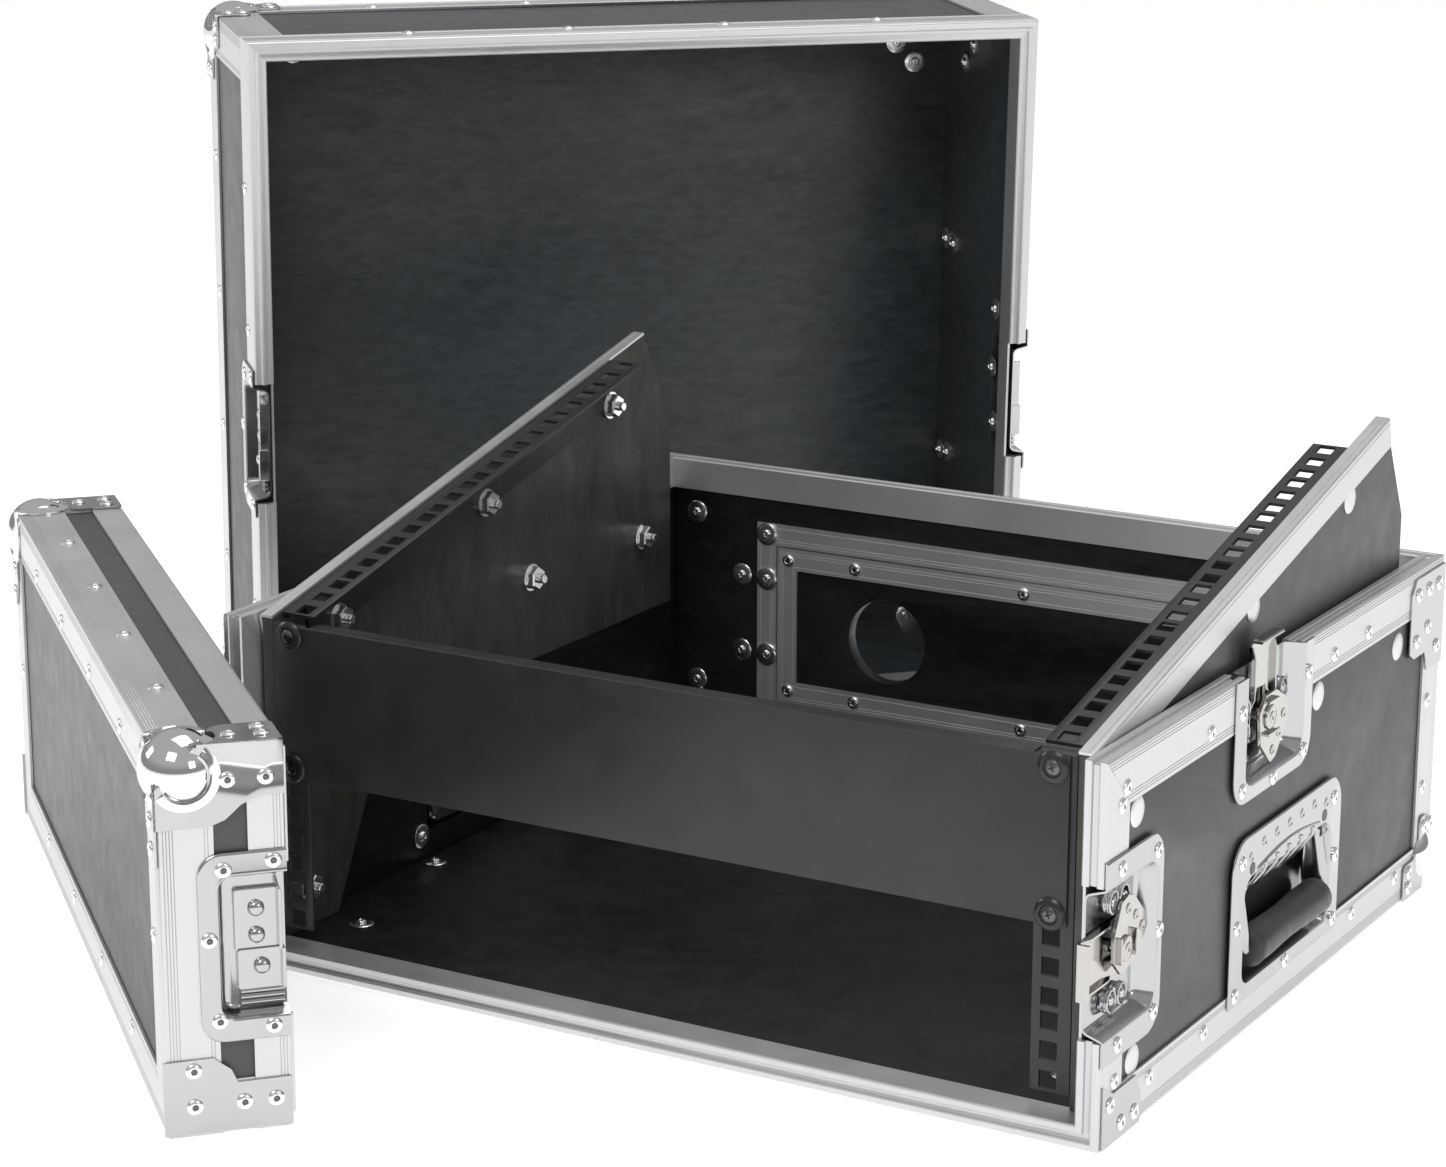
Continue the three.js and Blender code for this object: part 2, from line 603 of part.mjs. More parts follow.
// ---- Base: rear access door, closed, hinged on the left and opening outwards ----

// A rectangular ring of channel extrusion along the edges half, low and high: a web with a flange on each face.
// outward is 1 where the flanges spread away from the opening, and -1 where they spread into the leaf.
function doorRing(half, low, high, outward) {
  const inner = CASE_DEPTH - WALL + GAP;
  const outer = CASE_DEPTH - GAP;
  const ring = (width, y0, y1) => {
    const [a, b] = outward > 0 ? [0, width] : [-width, 0];
    return cut(
      block([-half - b, y0, low - b], [half + b, y1, high + b]),
      block([-half - a, -FAR, low - a], [half + a, FAR, high + a]),
    );
  };
  return join(
    ring(SKIN, inner, outer),
    ring(DOOR_FRAME, inner, inner + PLATE),
    ring(DOOR_FRAME, outer - PLATE, outer),
  );
}

const catchHole = () => rod(CATCH_SPINDLE + GAP, FAR, "y", [CATCH_X, CASE_DEPTH, CATCH_Z], 16);
const leafHalf = DOOR_HALF_WIDTH - DOOR_CLEARANCE;
const leafLow = DOOR_LOW + DOOR_CLEARANCE;
const leafHigh = DOOR_HIGH - DOOR_CLEARANCE;

function doorBoard() {
  const inset = SKIN + GAP;
  const board = block(
    [-leafHalf + inset, CASE_DEPTH - INNER_FACE, leafLow + inset],
    [leafHalf - inset, CASE_DEPTH - OUTER_FACE, leafHigh - inset],
  );
  const cableHole = rod(CABLE_HOLE_RADIUS, FAR, "y", [CABLE_HOLE_X, CASE_DEPTH, CABLE_HOLE_Z], 40);
  return cut(board, cableHole, catchHole());
}

const doorEdging = () => cut(doorRing(leafHalf, leafLow, leafHigh, -1), catchHole());

const hingeY = CASE_DEPTH + HINGE_BARREL;

function hingeLeaf(side) {
  const x = HINGE_X + side * (HINGE_BARREL + LEAF_PLAY);
  const end = HINGE_X + side * HINGE_LEAF;
  return block(
    [Math.min(x, end), CASE_DEPTH, HINGE_Z - HINGE_HEIGHT / 2],
    [Math.max(x, end), CASE_DEPTH + SKIN, HINGE_Z + HINGE_HEIGHT / 2],
  );
}

function hingeKnuckle(side, low, high) {
  const barrel = rod(HINGE_BARREL, high - low, "z", [HINGE_X, hingeY, (low + high) / 2], 16);
  const reach = HINGE_X + side * (HINGE_BARREL + KNUCKLE_WEB);
  const [x0, x1] = [Math.min(HINGE_X, reach), Math.max(HINGE_X, reach)];
  const web = block([x0, CASE_DEPTH, low], [x1, CASE_DEPTH + SKIN, high]);
  return [barrel, web];
}

const knuckle = HINGE_HEIGHT / 3;
const hingeLow = HINGE_Z - HINGE_HEIGHT / 2;

function hingeFrameLeaf() {
  const ends = [0, 2].flatMap((i) => hingeKnuckle(-1, hingeLow + i * knuckle, hingeLow + (i + 1) * knuckle));
  const pin = rod(HINGE_PIN, HINGE_HEIGHT, "z", [HINGE_X, hingeY, HINGE_Z], 12);
  return join(hingeLeaf(-1), ...ends, pin);
}

function hingeDoorLeaf() {
  const middle = hingeKnuckle(1, hingeLow + knuckle + GAP, hingeLow + 2 * knuckle - GAP);
  const bore = rod(HINGE_PIN + GAP, FAR, "z", [HINGE_X, hingeY, HINGE_Z], 12);
  return cut(join(hingeLeaf(1), ...middle), bore);
}

// A quarter-turn catch, drawn unlocked: its blade lies up and down behind the leaf.
function doorCatch() {
  const face = CASE_DEPTH;
  const back = CASE_DEPTH - WALL;
  const knobFace = face + KNOB_THICKNESS;
  const spindleLength = knobFace - back;
  const knob = rod(KNOB_RADIUS, KNOB_THICKNESS, "y", [CATCH_X, (face + knobFace) / 2, CATCH_Z], 24);
  const thumb = block(
    [CATCH_X - THUMB_HALF_THICKNESS, knobFace - 1, CATCH_Z - THUMB_HALF_LENGTH],
    [CATCH_X + THUMB_HALF_THICKNESS, knobFace + THUMB_STAND, CATCH_Z + THUMB_HALF_LENGTH],
  );
  const spindle = rod(CATCH_SPINDLE, spindleLength, "y", [CATCH_X, (face + back) / 2, CATCH_Z], 12);
  const blade = block(
    [CATCH_X - CATCH_BLADE_HALF, back - CATCH_BLADE_STEEL, CATCH_Z - CATCH_BLADE_HALF],
    [CATCH_X + CATCH_BLADE_HALF, back, CATCH_Z + CATCH_BLADE_REACH],
  );
  return join(knob, thumb, spindle, blade);
}

// ---- Box-shaped covers: the lid and the front cover ----
// Both are drawn rim up: the rim is at z = 0, the closed face at z = -depth, and the footprint starts at y = 0.

function coverFace(depth, length, balls) {
  const board = block(
    [-boardOut, OUTER_FACE, OUTER_FACE - depth],
    [boardOut, length - OUTER_FACE, INNER_FACE - depth],
  );
  return cut(board, ...balls);
}

function coverWalls(depth, length, keeperRooms, balls) {
  const outer = block(
    [-boardOut, OUTER_FACE, INNER_FACE - depth + GAP],
    [boardOut, length - OUTER_FACE, -CAP - GAP],
  );
  const inner = block([-boardIn, INNER_FACE, -FAR], [boardIn, length - INNER_FACE, FAR]);
  return cut(outer, inner, ...keeperRooms, ...balls);
}

function coverRim(length, rimLeg, keeperRooms) {
  const ring = (grow0, grow1, z0, z1) =>
    cut(
      block([-HALF_WIDTH + grow0, grow0, z0], [HALF_WIDTH - grow0, length - grow0, z1]),
      block([-HALF_WIDTH + grow1, grow1, -FAR], [HALF_WIDTH - grow1, length - grow1, FAR]),
    );
  const outerLeg = ring(0, SKIN, -rimLeg, 0);
  const cap = ring(0, WALL, -CAP, 0);
  const innerLeg = ring(WALL - SKIN, WALL, -RIM_LEG, 0);
  const tongueStart = (WALL - TONGUE_WIDTH) / 2;
  const tongue = ring(tongueStart, tongueStart + TONGUE_WIDTH, -SKIN, TONGUE_HEIGHT);
  return cut(join(outerLeg, cap, innerLeg, tongue), ...keeperRooms);
}

// Angle extrusions along the edges of the closed face and down the four corners.
function coverEdging(depth, length, rimLeg, keeperRooms, balls) {
  const whole = block([-HALF_WIDTH, 0, -depth], [HALF_WIDTH, length, -rimLeg - GAP]);
  const inside = block([-HALF_WIDTH + SKIN, SKIN, SKIN - depth], [HALF_WIDTH - SKIN, length - SKIN, FAR]);
  const [x, y0, y1, z] = [HALF_WIDTH - EDGE_LEG, EDGE_LEG, length - EDGE_LEG, EDGE_LEG - depth];
  const windows = [
    block([-FAR, y0, z], [FAR, y1, FAR]),
    block([-x, -FAR, z], [x, FAR, FAR]),
    block([-x, y0, -FAR], [x, y1, FAR]),
  ];
  return cut(whole, inside, ...windows, ...keeperRooms, ...balls);
}

// The pieces of a cover. `balls` lists the corners that carry ball corners, each as its direction in X and Y.
// With the case closed, +X here is the case's left side.
function boxCover(name, depth, length, rimLeg, keeperY, balls) {
  const cornerOf = ([x, y]) => [x * HALF_WIDTH, y > 0 ? length : 0, -depth];
  const trims = balls.map((ball) => cornerTool(cornerOf(ball), [...ball, -1], BALL_TRIM));
  const onRim = (geometry) => geometry.translate(HALF_WIDTH, keeperY, -KEEPER_HEIGHT);
  const rooms = bothSides([onRim(tubRoom(KEEPER_HEIGHT))]);
  const corners = balls.map(([x, y]) => {
    const label = `${name}_${y > 0 ? "upper" : "lower"}_${x > 0 ? "left" : "right"}_ball_corner`;
    return part(label, ballCorner(cornerOf([x, y]), [x, y, -1], [BALL_OUT, BALL_OUT, BALL_OUT]), chrome);
  });
  return [
    part(`${name}_face_board`, coverFace(depth, length, trims), laminate),
    part(`${name}_wall_boards`, coverWalls(depth, length, rooms, trims), laminate),
    part(`${name}_rim`, coverRim(length, rimLeg, rooms), aluminium),
    part(`${name}_edging`, coverEdging(depth, length, rimLeg, rooms, trims), aluminium),
    part(`${name}_left_keeper`, onRim(keeperDish()), chrome),
    part(`${name}_right_keeper`, mirrorX(onRim(keeperDish())), chrome),
    ...corners,
  ];
}

// ---- Assembly ----

const sideParts = (side) => {
  const place = side === "right" ? (geometry) => geometry : mirrorX;
  const named = (name, geometry, material) => part(`${side}_${name}`, place(geometry), material);
  const latch = (label, onEdge) => [
    named(`${label}_latch_dish`, onEdge(latchDish()), chrome),
    named(`${label}_latch_hook`, onEdge(latchHook()), nickel),
    named(`${label}_latch_wing`, onEdge(latchWing()), nickel),
  ];
  const ball = ballCorner(rearCorner(1), [1, 1, -1], [BALL_OUT, BALL_OUT, 0]);
  return [
    named("side_board", sideBoard(), laminate),
    named("inner_board", innerBoard(), stainedBoard),
    named("slant_edging", slantEdging(), aluminium),
    named("slant_rail", slantRail(), blackSteel),
    named("front_rail", frontRail(), blackSteel),
    named("rear_ball_corner", ball, chrome),
    ...latch("top", onTopEdge),
    ...latch("front", onFrontEdge),
    named("handle_dish", onHandle(handleDish()), chrome),
    named("handle_bail", onHandle(handleBail()), chrome),
    named("handle_grip", onHandle(handleGrip()), rubber),
  ];
};

const base = groupOf(
  part("floor_board", floorBoard(), stainedBoard),
  part("rear_board", rearBoard(), laminate),
  part("top_rim", topRim(), aluminium),
  part("front_frame", frontFrame(), aluminium),
  part("base_edging", baseEdging(), aluminium),
  part("blank_panel", blankPanel(), blackSteel),
  part("door_surround", doorRing(DOOR_HALF_WIDTH, DOOR_LOW, DOOR_HIGH, 1), aluminium),
  part("door_board", doorBoard(), laminate),
  part("door_edging", doorEdging(), aluminium),
  part("door_hinge_frame_leaf", hingeFrameLeaf(), blackSteel),
  part("door_hinge_door_leaf", hingeDoorLeaf(), blackSteel),
  part("door_catch", doorCatch(), nickel),
  sideParts("right"),
  sideParts("left"),
);

// The lid stands on its front edge and its two near ball corners, open side towards the base.
const upperBalls = [[1, 1], [-1, 1]];
const lowerBalls = [[1, -1], [-1, -1]];
const lidBalls = [...upperBalls, ...lowerBalls];
const lidBox = groupOf(boxCover("lid", LID_DEPTH, CASE_DEPTH, EDGE_LEG, TOP_LATCH_Y, lidBalls));
lidBox.rotation.x = Math.PI / 2 + LID_LEAN;
const lid = groupOf(lidBox);
lid.rotation.z = LID_YAW;
lid.position.set(LID_X, LID_Y, 0);

// The front cover stands on its lower long edge, open side towards the base.
const coverBox = groupOf(
  boxCover("cover", COVER_DEPTH, BASE_HEIGHT, COVER_RIM_LEG, FRONT_LATCH_Z, upperBalls),
);
coverBox.rotation.x = Math.PI / 2;
const cover = groupOf(coverBox);
cover.rotation.z = COVER_YAW;
cover.position.set(COVER_X, COVER_Y, 0);

const rackCase = groupOf(base, lid, cover);
rackCase.updateMatrixWorld(true);
const middle = new THREE.Box3().setFromObject(rackCase, true).getCenter(new THREE.Vector3());
rackCase.position.set(-middle.x, -middle.y, 0);

export default rackCase;
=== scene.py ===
"""Looks of the equipment rack case: an open base, its lid and its front cover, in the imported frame.

Shapes are drawn in millimetres, in the local frames of the base, the lid, the cover and their hardware.
"""

import json
import math
from contextlib import contextmanager

import bmesh
import bpy
from mathutils import Matrix, Vector

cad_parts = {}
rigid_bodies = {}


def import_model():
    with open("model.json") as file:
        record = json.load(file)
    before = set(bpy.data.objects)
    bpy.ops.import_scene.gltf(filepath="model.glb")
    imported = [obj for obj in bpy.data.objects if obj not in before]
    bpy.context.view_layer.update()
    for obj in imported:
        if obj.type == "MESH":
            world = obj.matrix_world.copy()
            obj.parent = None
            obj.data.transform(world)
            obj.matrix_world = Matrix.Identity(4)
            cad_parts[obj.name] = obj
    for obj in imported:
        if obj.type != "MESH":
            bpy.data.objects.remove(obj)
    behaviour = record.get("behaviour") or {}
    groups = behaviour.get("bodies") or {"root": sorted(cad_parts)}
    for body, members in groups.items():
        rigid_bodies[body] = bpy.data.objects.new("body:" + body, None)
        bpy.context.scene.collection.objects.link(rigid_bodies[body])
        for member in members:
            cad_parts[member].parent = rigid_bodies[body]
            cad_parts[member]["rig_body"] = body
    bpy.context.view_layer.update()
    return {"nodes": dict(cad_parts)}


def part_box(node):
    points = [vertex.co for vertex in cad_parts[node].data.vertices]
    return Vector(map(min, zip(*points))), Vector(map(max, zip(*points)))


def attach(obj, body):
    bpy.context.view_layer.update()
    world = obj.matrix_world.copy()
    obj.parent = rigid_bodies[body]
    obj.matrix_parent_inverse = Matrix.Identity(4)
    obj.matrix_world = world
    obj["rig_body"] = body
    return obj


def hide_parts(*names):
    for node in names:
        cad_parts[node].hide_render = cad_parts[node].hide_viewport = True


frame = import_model()

MM = 0.001
X, Y, Z = range(3)

# ---- Sizes of the case, in millimetres, as in the CAD model ----
rim_low, rim_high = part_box("top_rim")
front_low, front_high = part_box("front_frame")
HALF_WIDTH = (rim_high.x - rim_low.x) / 2 / MM
DEPTH = (rim_high.y - front_low.y) / MM
HEIGHT = rim_high.z / MM
LID_DEPTH = 160
COVER_DEPTH = 64
GAP = 0.3  # between parts that don't touch, and above the CAD faces
SKIN = 1.5  # sheet of an extrusion
CAP = 3  # thickness of a rim's cap
WALL = 12.6  # width of a rim's cap
SHEET = 1.1  # of a pressed dish
PLATE = 1.2  # thickness of corner plates and braces
BOARD_OUT = 1.8  # from the outside of the case to the outer face of its boards
BOARD_IN = 10.8  # and to their inner face
EDGE_LEG = 28
RIM_LEG = 20
COVER_RIM_LEG = 19
LID_SIZE = (LID_DEPTH, DEPTH, EDGE_LEG)  # depth, length and outer leg of the rim
COVER_SIZE = (COVER_DEPTH, HEIGHT, COVER_RIM_LEG)
GROOVE_DEPTH = 0.3
GROOVE_HALF = 0.3
TONGUE_INSET = 4.8
TONGUE_HEIGHT = 2
RIVET_LINE = 19  # from an edge to its row of rivets
RIVET_PITCH = 105

RACK_UNIT = 44.45
HOLE_COLUMN = 232.55
HOLE_HEIGHTS = (6.35, 22.225, 38.1)  # in each rack unit
FRONT_RACK_Y = (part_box("right_front_rail")[0].y - front_low.y) / MM
FRONT_RACK_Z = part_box("right_front_rail")[0].z / MM
SLANT_ANGLE = math.radians(13.5)
SLANT_Y = 24.4
SLANT_Z = 201.5
SLANT_END = 409  # the y at which the slanted boards' edging ends
INNER_BOARD_OUT = 252
INNER_BOARD_IN = 245

LATCH_HEIGHT = 70
LATCH_HALF = 53.5
TUB_HALF = 40
SPINDLE_Z = 38
TOP_LATCH_Y = 212
FRONT_LATCH_Z = 98
KEEPER_HEIGHT = 45
FLANGE_FACE = 1.5  # how far the flange of a dish stands proud
HANDLE_Y = 240
HANDLE_Z = 20

BALL_RADIUS = 19
BALL_OUT = 6
PRESSED_RADIUS = 20.5  # of the visible ball
BALL_TRIM = 18  # how much of each edge a corner under a ball loses
LID_YAW = math.radians(46.56)
LID_LEAN = math.asin(BALL_OUT / (LID_DEPTH - BALL_RADIUS + BALL_OUT))
COVER_YAW = math.radians(138.17)

DOOR_HALF_WIDTH = 177.8
DOOR_LOW, DOOR_HIGH = 47, 153
DOOR_FRAME = 14.2
DOOR_CLEARANCE = 1

# ---- Local frames ----


def rotation(angle, axis):
    return Matrix.Rotation(angle, 4, axis)


def shift(x, y, z):
    return Matrix.Translation((x, y, z))


def placed(turn, node, corners):
    """The frame turned by `turn` in which the box round `corners` starts where the CAD node's does."""
    turned = [turn @ Vector(c) * MM for c in corners]
    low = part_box(node)[0]
    offset = [low[i] - min(c[i] for c in turned) for i in range(3)]
    return Matrix.Translation(offset) @ turn @ Matrix.Scale(MM, 4)


def box_corners(low, high):
    xs, ys, zs = zip(low, high)
    return [(x, y, z) for x in xs for y in ys for z in zs]


def rim_corners(length, leg):
    """The corners of a cover's rim: its outer legs, its inner legs and its tongue."""
    corners = box_corners((-HALF_WIDTH, 0, -leg), (HALF_WIDTH, length, 0))
    for inset, low, high in ((WALL - SKIN, -RIM_LEG, 0), (TONGUE_INSET, 0, TONGUE_HEIGHT)):
        side = HALF_WIDTH - inset
        corners += box_corners((-side, inset, low), (side, length - inset, high))
    return corners


BASE = Matrix.Translation(((front_low.x + front_high.x) / 2, front_low.y, 0)) @ Matrix.Scale(MM, 4)
# Covers are drawn rim up: the rim at z = 0, the closed face at z = -depth, the footprint from y = 0.
LID_TURN = rotation(LID_YAW, "Z") @ rotation(math.pi / 2 + LID_LEAN, "X")
LID = placed(LID_TURN, "lid_rim", rim_corners(DEPTH, EDGE_LEG))
COVER_TURN = rotation(COVER_YAW, "Z") @ rotation(math.pi / 2, "X")
COVER = placed(COVER_TURN, "cover_rim", rim_corners(HEIGHT, COVER_RIM_LEG))


# ---- Shapes: lists of points and faces ----


def merged(*shapes):
    points, faces = [], []
    for more_points, more_faces in shapes:
        start = len(points)
        points += more_points
        faces += [tuple(start + i for i in face) for face in more_faces]
    return points, faces


def moved(shape, matrix):
    points, faces = shape
    if matrix.determinant() < 0:
        faces = [tuple(reversed(face)) for face in faces]
    return [matrix @ Vector(p) for p in points], faces


def block(low, high):
    zs, ys, xs = ((low[i], high[i]) for i in (2, 1, 0))
    points = [Vector((x, y, z)) for z in zs for y in ys for x in xs]
    faces = [(0, 2, 3, 1), (4, 5, 7, 6), (0, 1, 5, 4), (2, 6, 7, 3), (0, 4, 6, 2), (1, 3, 7, 5)]
    return points, faces


def loft(loops, close_start=True, close_end=True):
    """Joins closed loops of equally many points, which turn left seen from the end they lead to."""
    points = [Vector(p) for loop in loops for p in loop]
    n = len(loops[0])
    faces = []
    for k in range(len(loops) - 1):
        for i in range(n):
            j = (i + 1) % n
            faces.append((k * n + i, k * n + j, (k + 1) * n + j, (k + 1) * n + i))
    if close_start:
        faces.append(tuple(reversed(range(n))))
    if close_end:
        faces.append(tuple(range((len(loops) - 1) * n, len(loops) * n)))
    return points, faces


def turns(count):
    """The angles of a full turn in `count` steps."""
    return [2 * math.pi * i / count for i in range(count)]


def lathe(profile, sides=20):
    """Turns (radius, height) points about Z. The profile starts and ends on the axis."""
    angles = turns(sides)
    return loft([[(r * math.cos(a), r * math.sin(a), z) for a in angles] for r, z in profile])


def plate(outline, low, high):
    """A closed outline in X and Y, from height `low` to `high`."""
    return loft([[(x, y, z) for x, y in outline] for z in (low, high)])


def tube(path, radius, sides=10):
    """A round tube along a path of points."""
    path = [Vector(p) for p in path]
    loops = []
    normal = None
    for i, point in enumerate(path):
        along = (path[min(i + 1, len(path) - 1)] - path[max(i - 1, 0)]).normalized()
        if normal is None:
            normal = along.orthogonal().normalized()
        normal = (normal - along * normal.dot(along)).normalized()
        across = along.cross(normal)
        ring = [math.cos(a) * normal + math.sin(a) * across for a in turns(sides)]
        loops.append([point + radius * v for v in ring])
    return loft(loops)


def arc(cx, cy, radius, start, end, steps):
    """Points on an arc, angles in degrees."""
    angles = [math.radians(start + (end - start) * i / steps) for i in range(steps + 1)]
    return [(cx + radius * math.cos(a), cy + radius * math.sin(a)) for a in angles]


def rounded(x0, y0, x1, y1, low_radius, high_radius=None, steps=5):
    """A rectangle with rounded corners, turning left from its lower right one."""
    high_radius = low_radius if high_radius is None else high_radius
    return [
        *arc(x1 - low_radius, y0 + low_radius, low_radius, -90, 0, steps),
        *arc(x1 - high_radius, y1 - high_radius, high_radius, 0, 90, steps),
        *arc(x0 + high_radius, y1 - high_radius, high_radius, 90, 180, steps),
        *arc(x0 + low_radius, y0 + low_radius, low_radius, 180, 270, steps),
    ]


def grown(outline, amount):
    """An outline moved outwards by `amount` along its corner normals."""
    result = []
    n = len(outline)
    for i in range(n):
        before, point, after = (Vector(outline[(i + k) % n]) for k in (-1, 0, 1))
        one = (point - before).normalized()
        two = (after - point).normalized()
        normal = Vector((one.y, -one.x)) + Vector((two.y, -two.x))
        normal = normal.normalized() / max(0.5, math.sqrt((1 + one.dot(two)) / 2))
        result.append(tuple(point + normal * amount))
    return result


# Stands a shape that is drawn as (x, y, z) with its x along Y, its y along Z and its z along X.
ALONG_X = Matrix(((0, 0, 1, 0), (1, 0, 0, 0), (0, 1, 0, 0), (0, 0, 0, 1)))


def stud(profile, sides, x, y, z):
    """A turned piece that stands out along X from (x, y, z)."""
    return moved(moved(lathe(profile, sides), ALONG_X), shift(x, y, z))


# ---- Making objects ----


def linked(name, data):
    """A new object in the scene."""
    item = bpy.data.objects.new(name, data)
    bpy.context.scene.collection.objects.link(item)
    return item


def new_mesh(name, shape):
    points, faces = shape
    mesh = bpy.data.meshes.new(name)
    mesh.from_pydata([tuple(p) for p in points], [], faces)
    return mesh


@contextmanager
def edited(mesh, source=None):
    """A bmesh of a mesh, or of `source`, that is written to the mesh at the end."""
    shape = bmesh.new()
    shape.from_mesh(source or mesh)
    yield shape
    shape.to_mesh(mesh)
    shape.free()


def round_edges(piece, width, least_angle):
    """Rounds the edges that are sharper than an angle in degrees."""
    rounding = piece.modifiers.new("edges", "BEVEL")
    rounding.width = width * MM
    rounding.segments = 2
    rounding.limit_method = "ANGLE"
    rounding.angle_limit = math.radians(least_angle)
    rounding.harden_normals = True


def cut_off(shape, point, normal, close=True):
    """Cuts a bmesh off beyond a plane, and closes the cut."""
    found = bmesh.ops.bisect_plane(
        shape,
        geom=[*shape.verts, *shape.edges, *shape.faces],
        plane_co=point,
        plane_no=normal,
        clear_outer=True,
    )
    if close:
        edges = [e for e in found["geom_cut"] if isinstance(e, bmesh.types.BMEdge)]
        bmesh.ops.holes_fill(shape, edges=edges, sides=0)


def finish_object(name, mesh, material, body, bevel, replaces):
    piece = linked(name, mesh)
    if not mesh.materials:
        mesh.materials.append(material)
    mesh.polygons.foreach_set("use_smooth", [True] * len(mesh.polygons))
    if bevel:
        round_edges(piece, bevel, 40)
    else:
        mesh.set_sharp_from_angle(angle=math.radians(38))
    if replaces:
        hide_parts(*replaces)
    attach(piece, body)
    return piece


def make(name, shape, at, material, body, bevel=0.0, replaces=(), trims=()):
    """One object from a shape in the frame `at`, cut off beyond each (point, normal) in `trims`."""
    mesh = new_mesh(name, moved(shape, at))
    mesh.validate()
    with edited(mesh) as clean:
        bmesh.ops.remove_doubles(clean, verts=clean.verts, dist=0.01 * MM)
        for point, normal in trims:
            cut_off(clean, at @ Vector(point), at.to_3x3() @ Vector(normal))
        bmesh.ops.recalc_face_normals(clean, faces=clean.faces)
    return finish_object(name, mesh, material, body, bevel, replaces)


def corner_trim(corner, inward):
    """The plane that takes BALL_TRIM off each of the three edges that meet at a corner of the case."""
    inward = Vector(inward)
    return Vector(corner) + inward * BALL_TRIM / 3, -inward


def refined(node, materials, chooser=None, bevel=0.4):
    """A copy of a CAD node with joined flat faces, rounded edges and a material for each face."""
    source = frame["nodes"][node]
    body = source["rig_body"]
    mesh = bpy.data.meshes.new(node + "_skin")
    with edited(mesh, source.data) as clean:
        verts, edges = clean.verts, clean.edges
        bmesh.ops.remove_doubles(clean, verts=verts, dist=0.005 * MM)
        bmesh.ops.dissolve_limit(clean, angle_limit=math.radians(0.5), verts=verts, edges=edges)
        for face in clean.faces:
            face.material_index = chooser(face) if chooser else 0
    for material in materials:
        mesh.materials.append(material)
    return finish_object(node + "_skin", mesh, materials[0], body, bevel, [node])


# ---- Materials ----


class Tree:
    """Adds nodes to a shader tree."""

    def __init__(self, tree):
        self.tree = tree

    def feed(self, socket, value):
        """Links an output to a socket, or sets the socket to a value."""
        if hasattr(value, "is_linked"):
            self.tree.links.new(value, socket)
        else:
            socket.default_value = value

    def node(self, kind, **inputs):
        node = self.tree.nodes.new("ShaderNode" + kind)
        for name, value in inputs.items():
            self.feed(node.inputs[name], value)
        return node

    def ramp(self, value, low, high, first, last):
        """Maps `value` from low..high to the colours or greys first..last."""
        node = self.node("ValToRGB", Fac=value)
        for element, place, tone in zip(node.color_ramp.elements, (low, high), (first, last)):
            element.position = place
            element.color = (*tone, 1) if isinstance(tone, tuple) else (tone, tone, tone, 1)
        return node.outputs["Color"]


class Nodes(Tree):
    """Builds a Principled material from nodes."""

    def __init__(self, name, color, metallic, roughness):
        self.material = bpy.data.materials.new(name)
        self.material.use_nodes = True
        super().__init__(self.material.node_tree)
        self.shade({"Base Color": (*color, 1), "Metallic": metallic, "Roughness": roughness})

    def shade(self, values):
        """Feeds the shader's inputs and gives the material."""
        for socket, value in values.items():
            self.feed(self.tree.nodes["Principled BSDF"].inputs[socket], value)
        return self.material

    def noise(self, scale, detail=4.0, rough=0.55, stretch=(1, 1, 1), along="Object"):
        place = self.node("TexCoord").outputs[along]
        space = self.node("Mapping", Vector=place, Scale=stretch).outputs["Vector"]
        noise = self.node("TexNoise", Vector=space, Scale=scale, Detail=detail, Roughness=rough)
        return noise.outputs["Fac"]

    def mix(self, factor, first, second):
        """Mixes two colours, each given as an output or as RGB."""
        node = self.node("Mix")
        node.data_type = "RGBA"
        for socket, value in zip((node.inputs[0], *node.inputs[6:8]), (factor, first, second)):
            self.feed(socket, (*value, 1) if isinstance(value, tuple) else value)
        return node.outputs[2]

    def bump(self, height, distance, strength=1.0, under=None):
        """A bump `distance` millimetres high, over another one."""
        node = self.node("Bump", Height=height, Distance=distance * MM, Strength=strength)
        if under is not None:
            self.feed(node.inputs["Normal"], under)
        return node.outputs["Normal"]

    def set(self, color, roughness, normal):
        return self.shade({"Base Color": color, "Roughness": roughness, "Normal": normal})


def laminate_material():
    """Charcoal phenolic laminate: flat satin with a fine embossed grain and a few light scuffs."""
    n = Nodes("charcoal_laminate", (0.098, 0.1, 0.108), 0, 0.42)
    color = n.ramp(n.noise(6, 3, 0.5), 0.3, 0.75, (0.069, 0.071, 0.077), (0.080, 0.082, 0.089))
    scuffs = n.ramp(n.noise(45, 8, 0.75), 0.70, 0.76, 0.0, 0.22)
    color = n.mix(scuffs, color, (0.17, 0.17, 0.178))
    specks = n.ramp(n.noise(700, 2, 0.6), 0.70, 0.78, 0.0, 0.25)
    color = n.mix(specks, color, (0.055, 0.055, 0.058))
    rough = n.ramp(n.noise(60, 3), 0.3, 0.7, 0.38, 0.48)
    grain = n.bump(n.noise(1300, 2, 0.5), 0.05, 0.5)
    return n.set(color, rough, n.bump(n.noise(10, 2), 0.3, 0.12, grain))


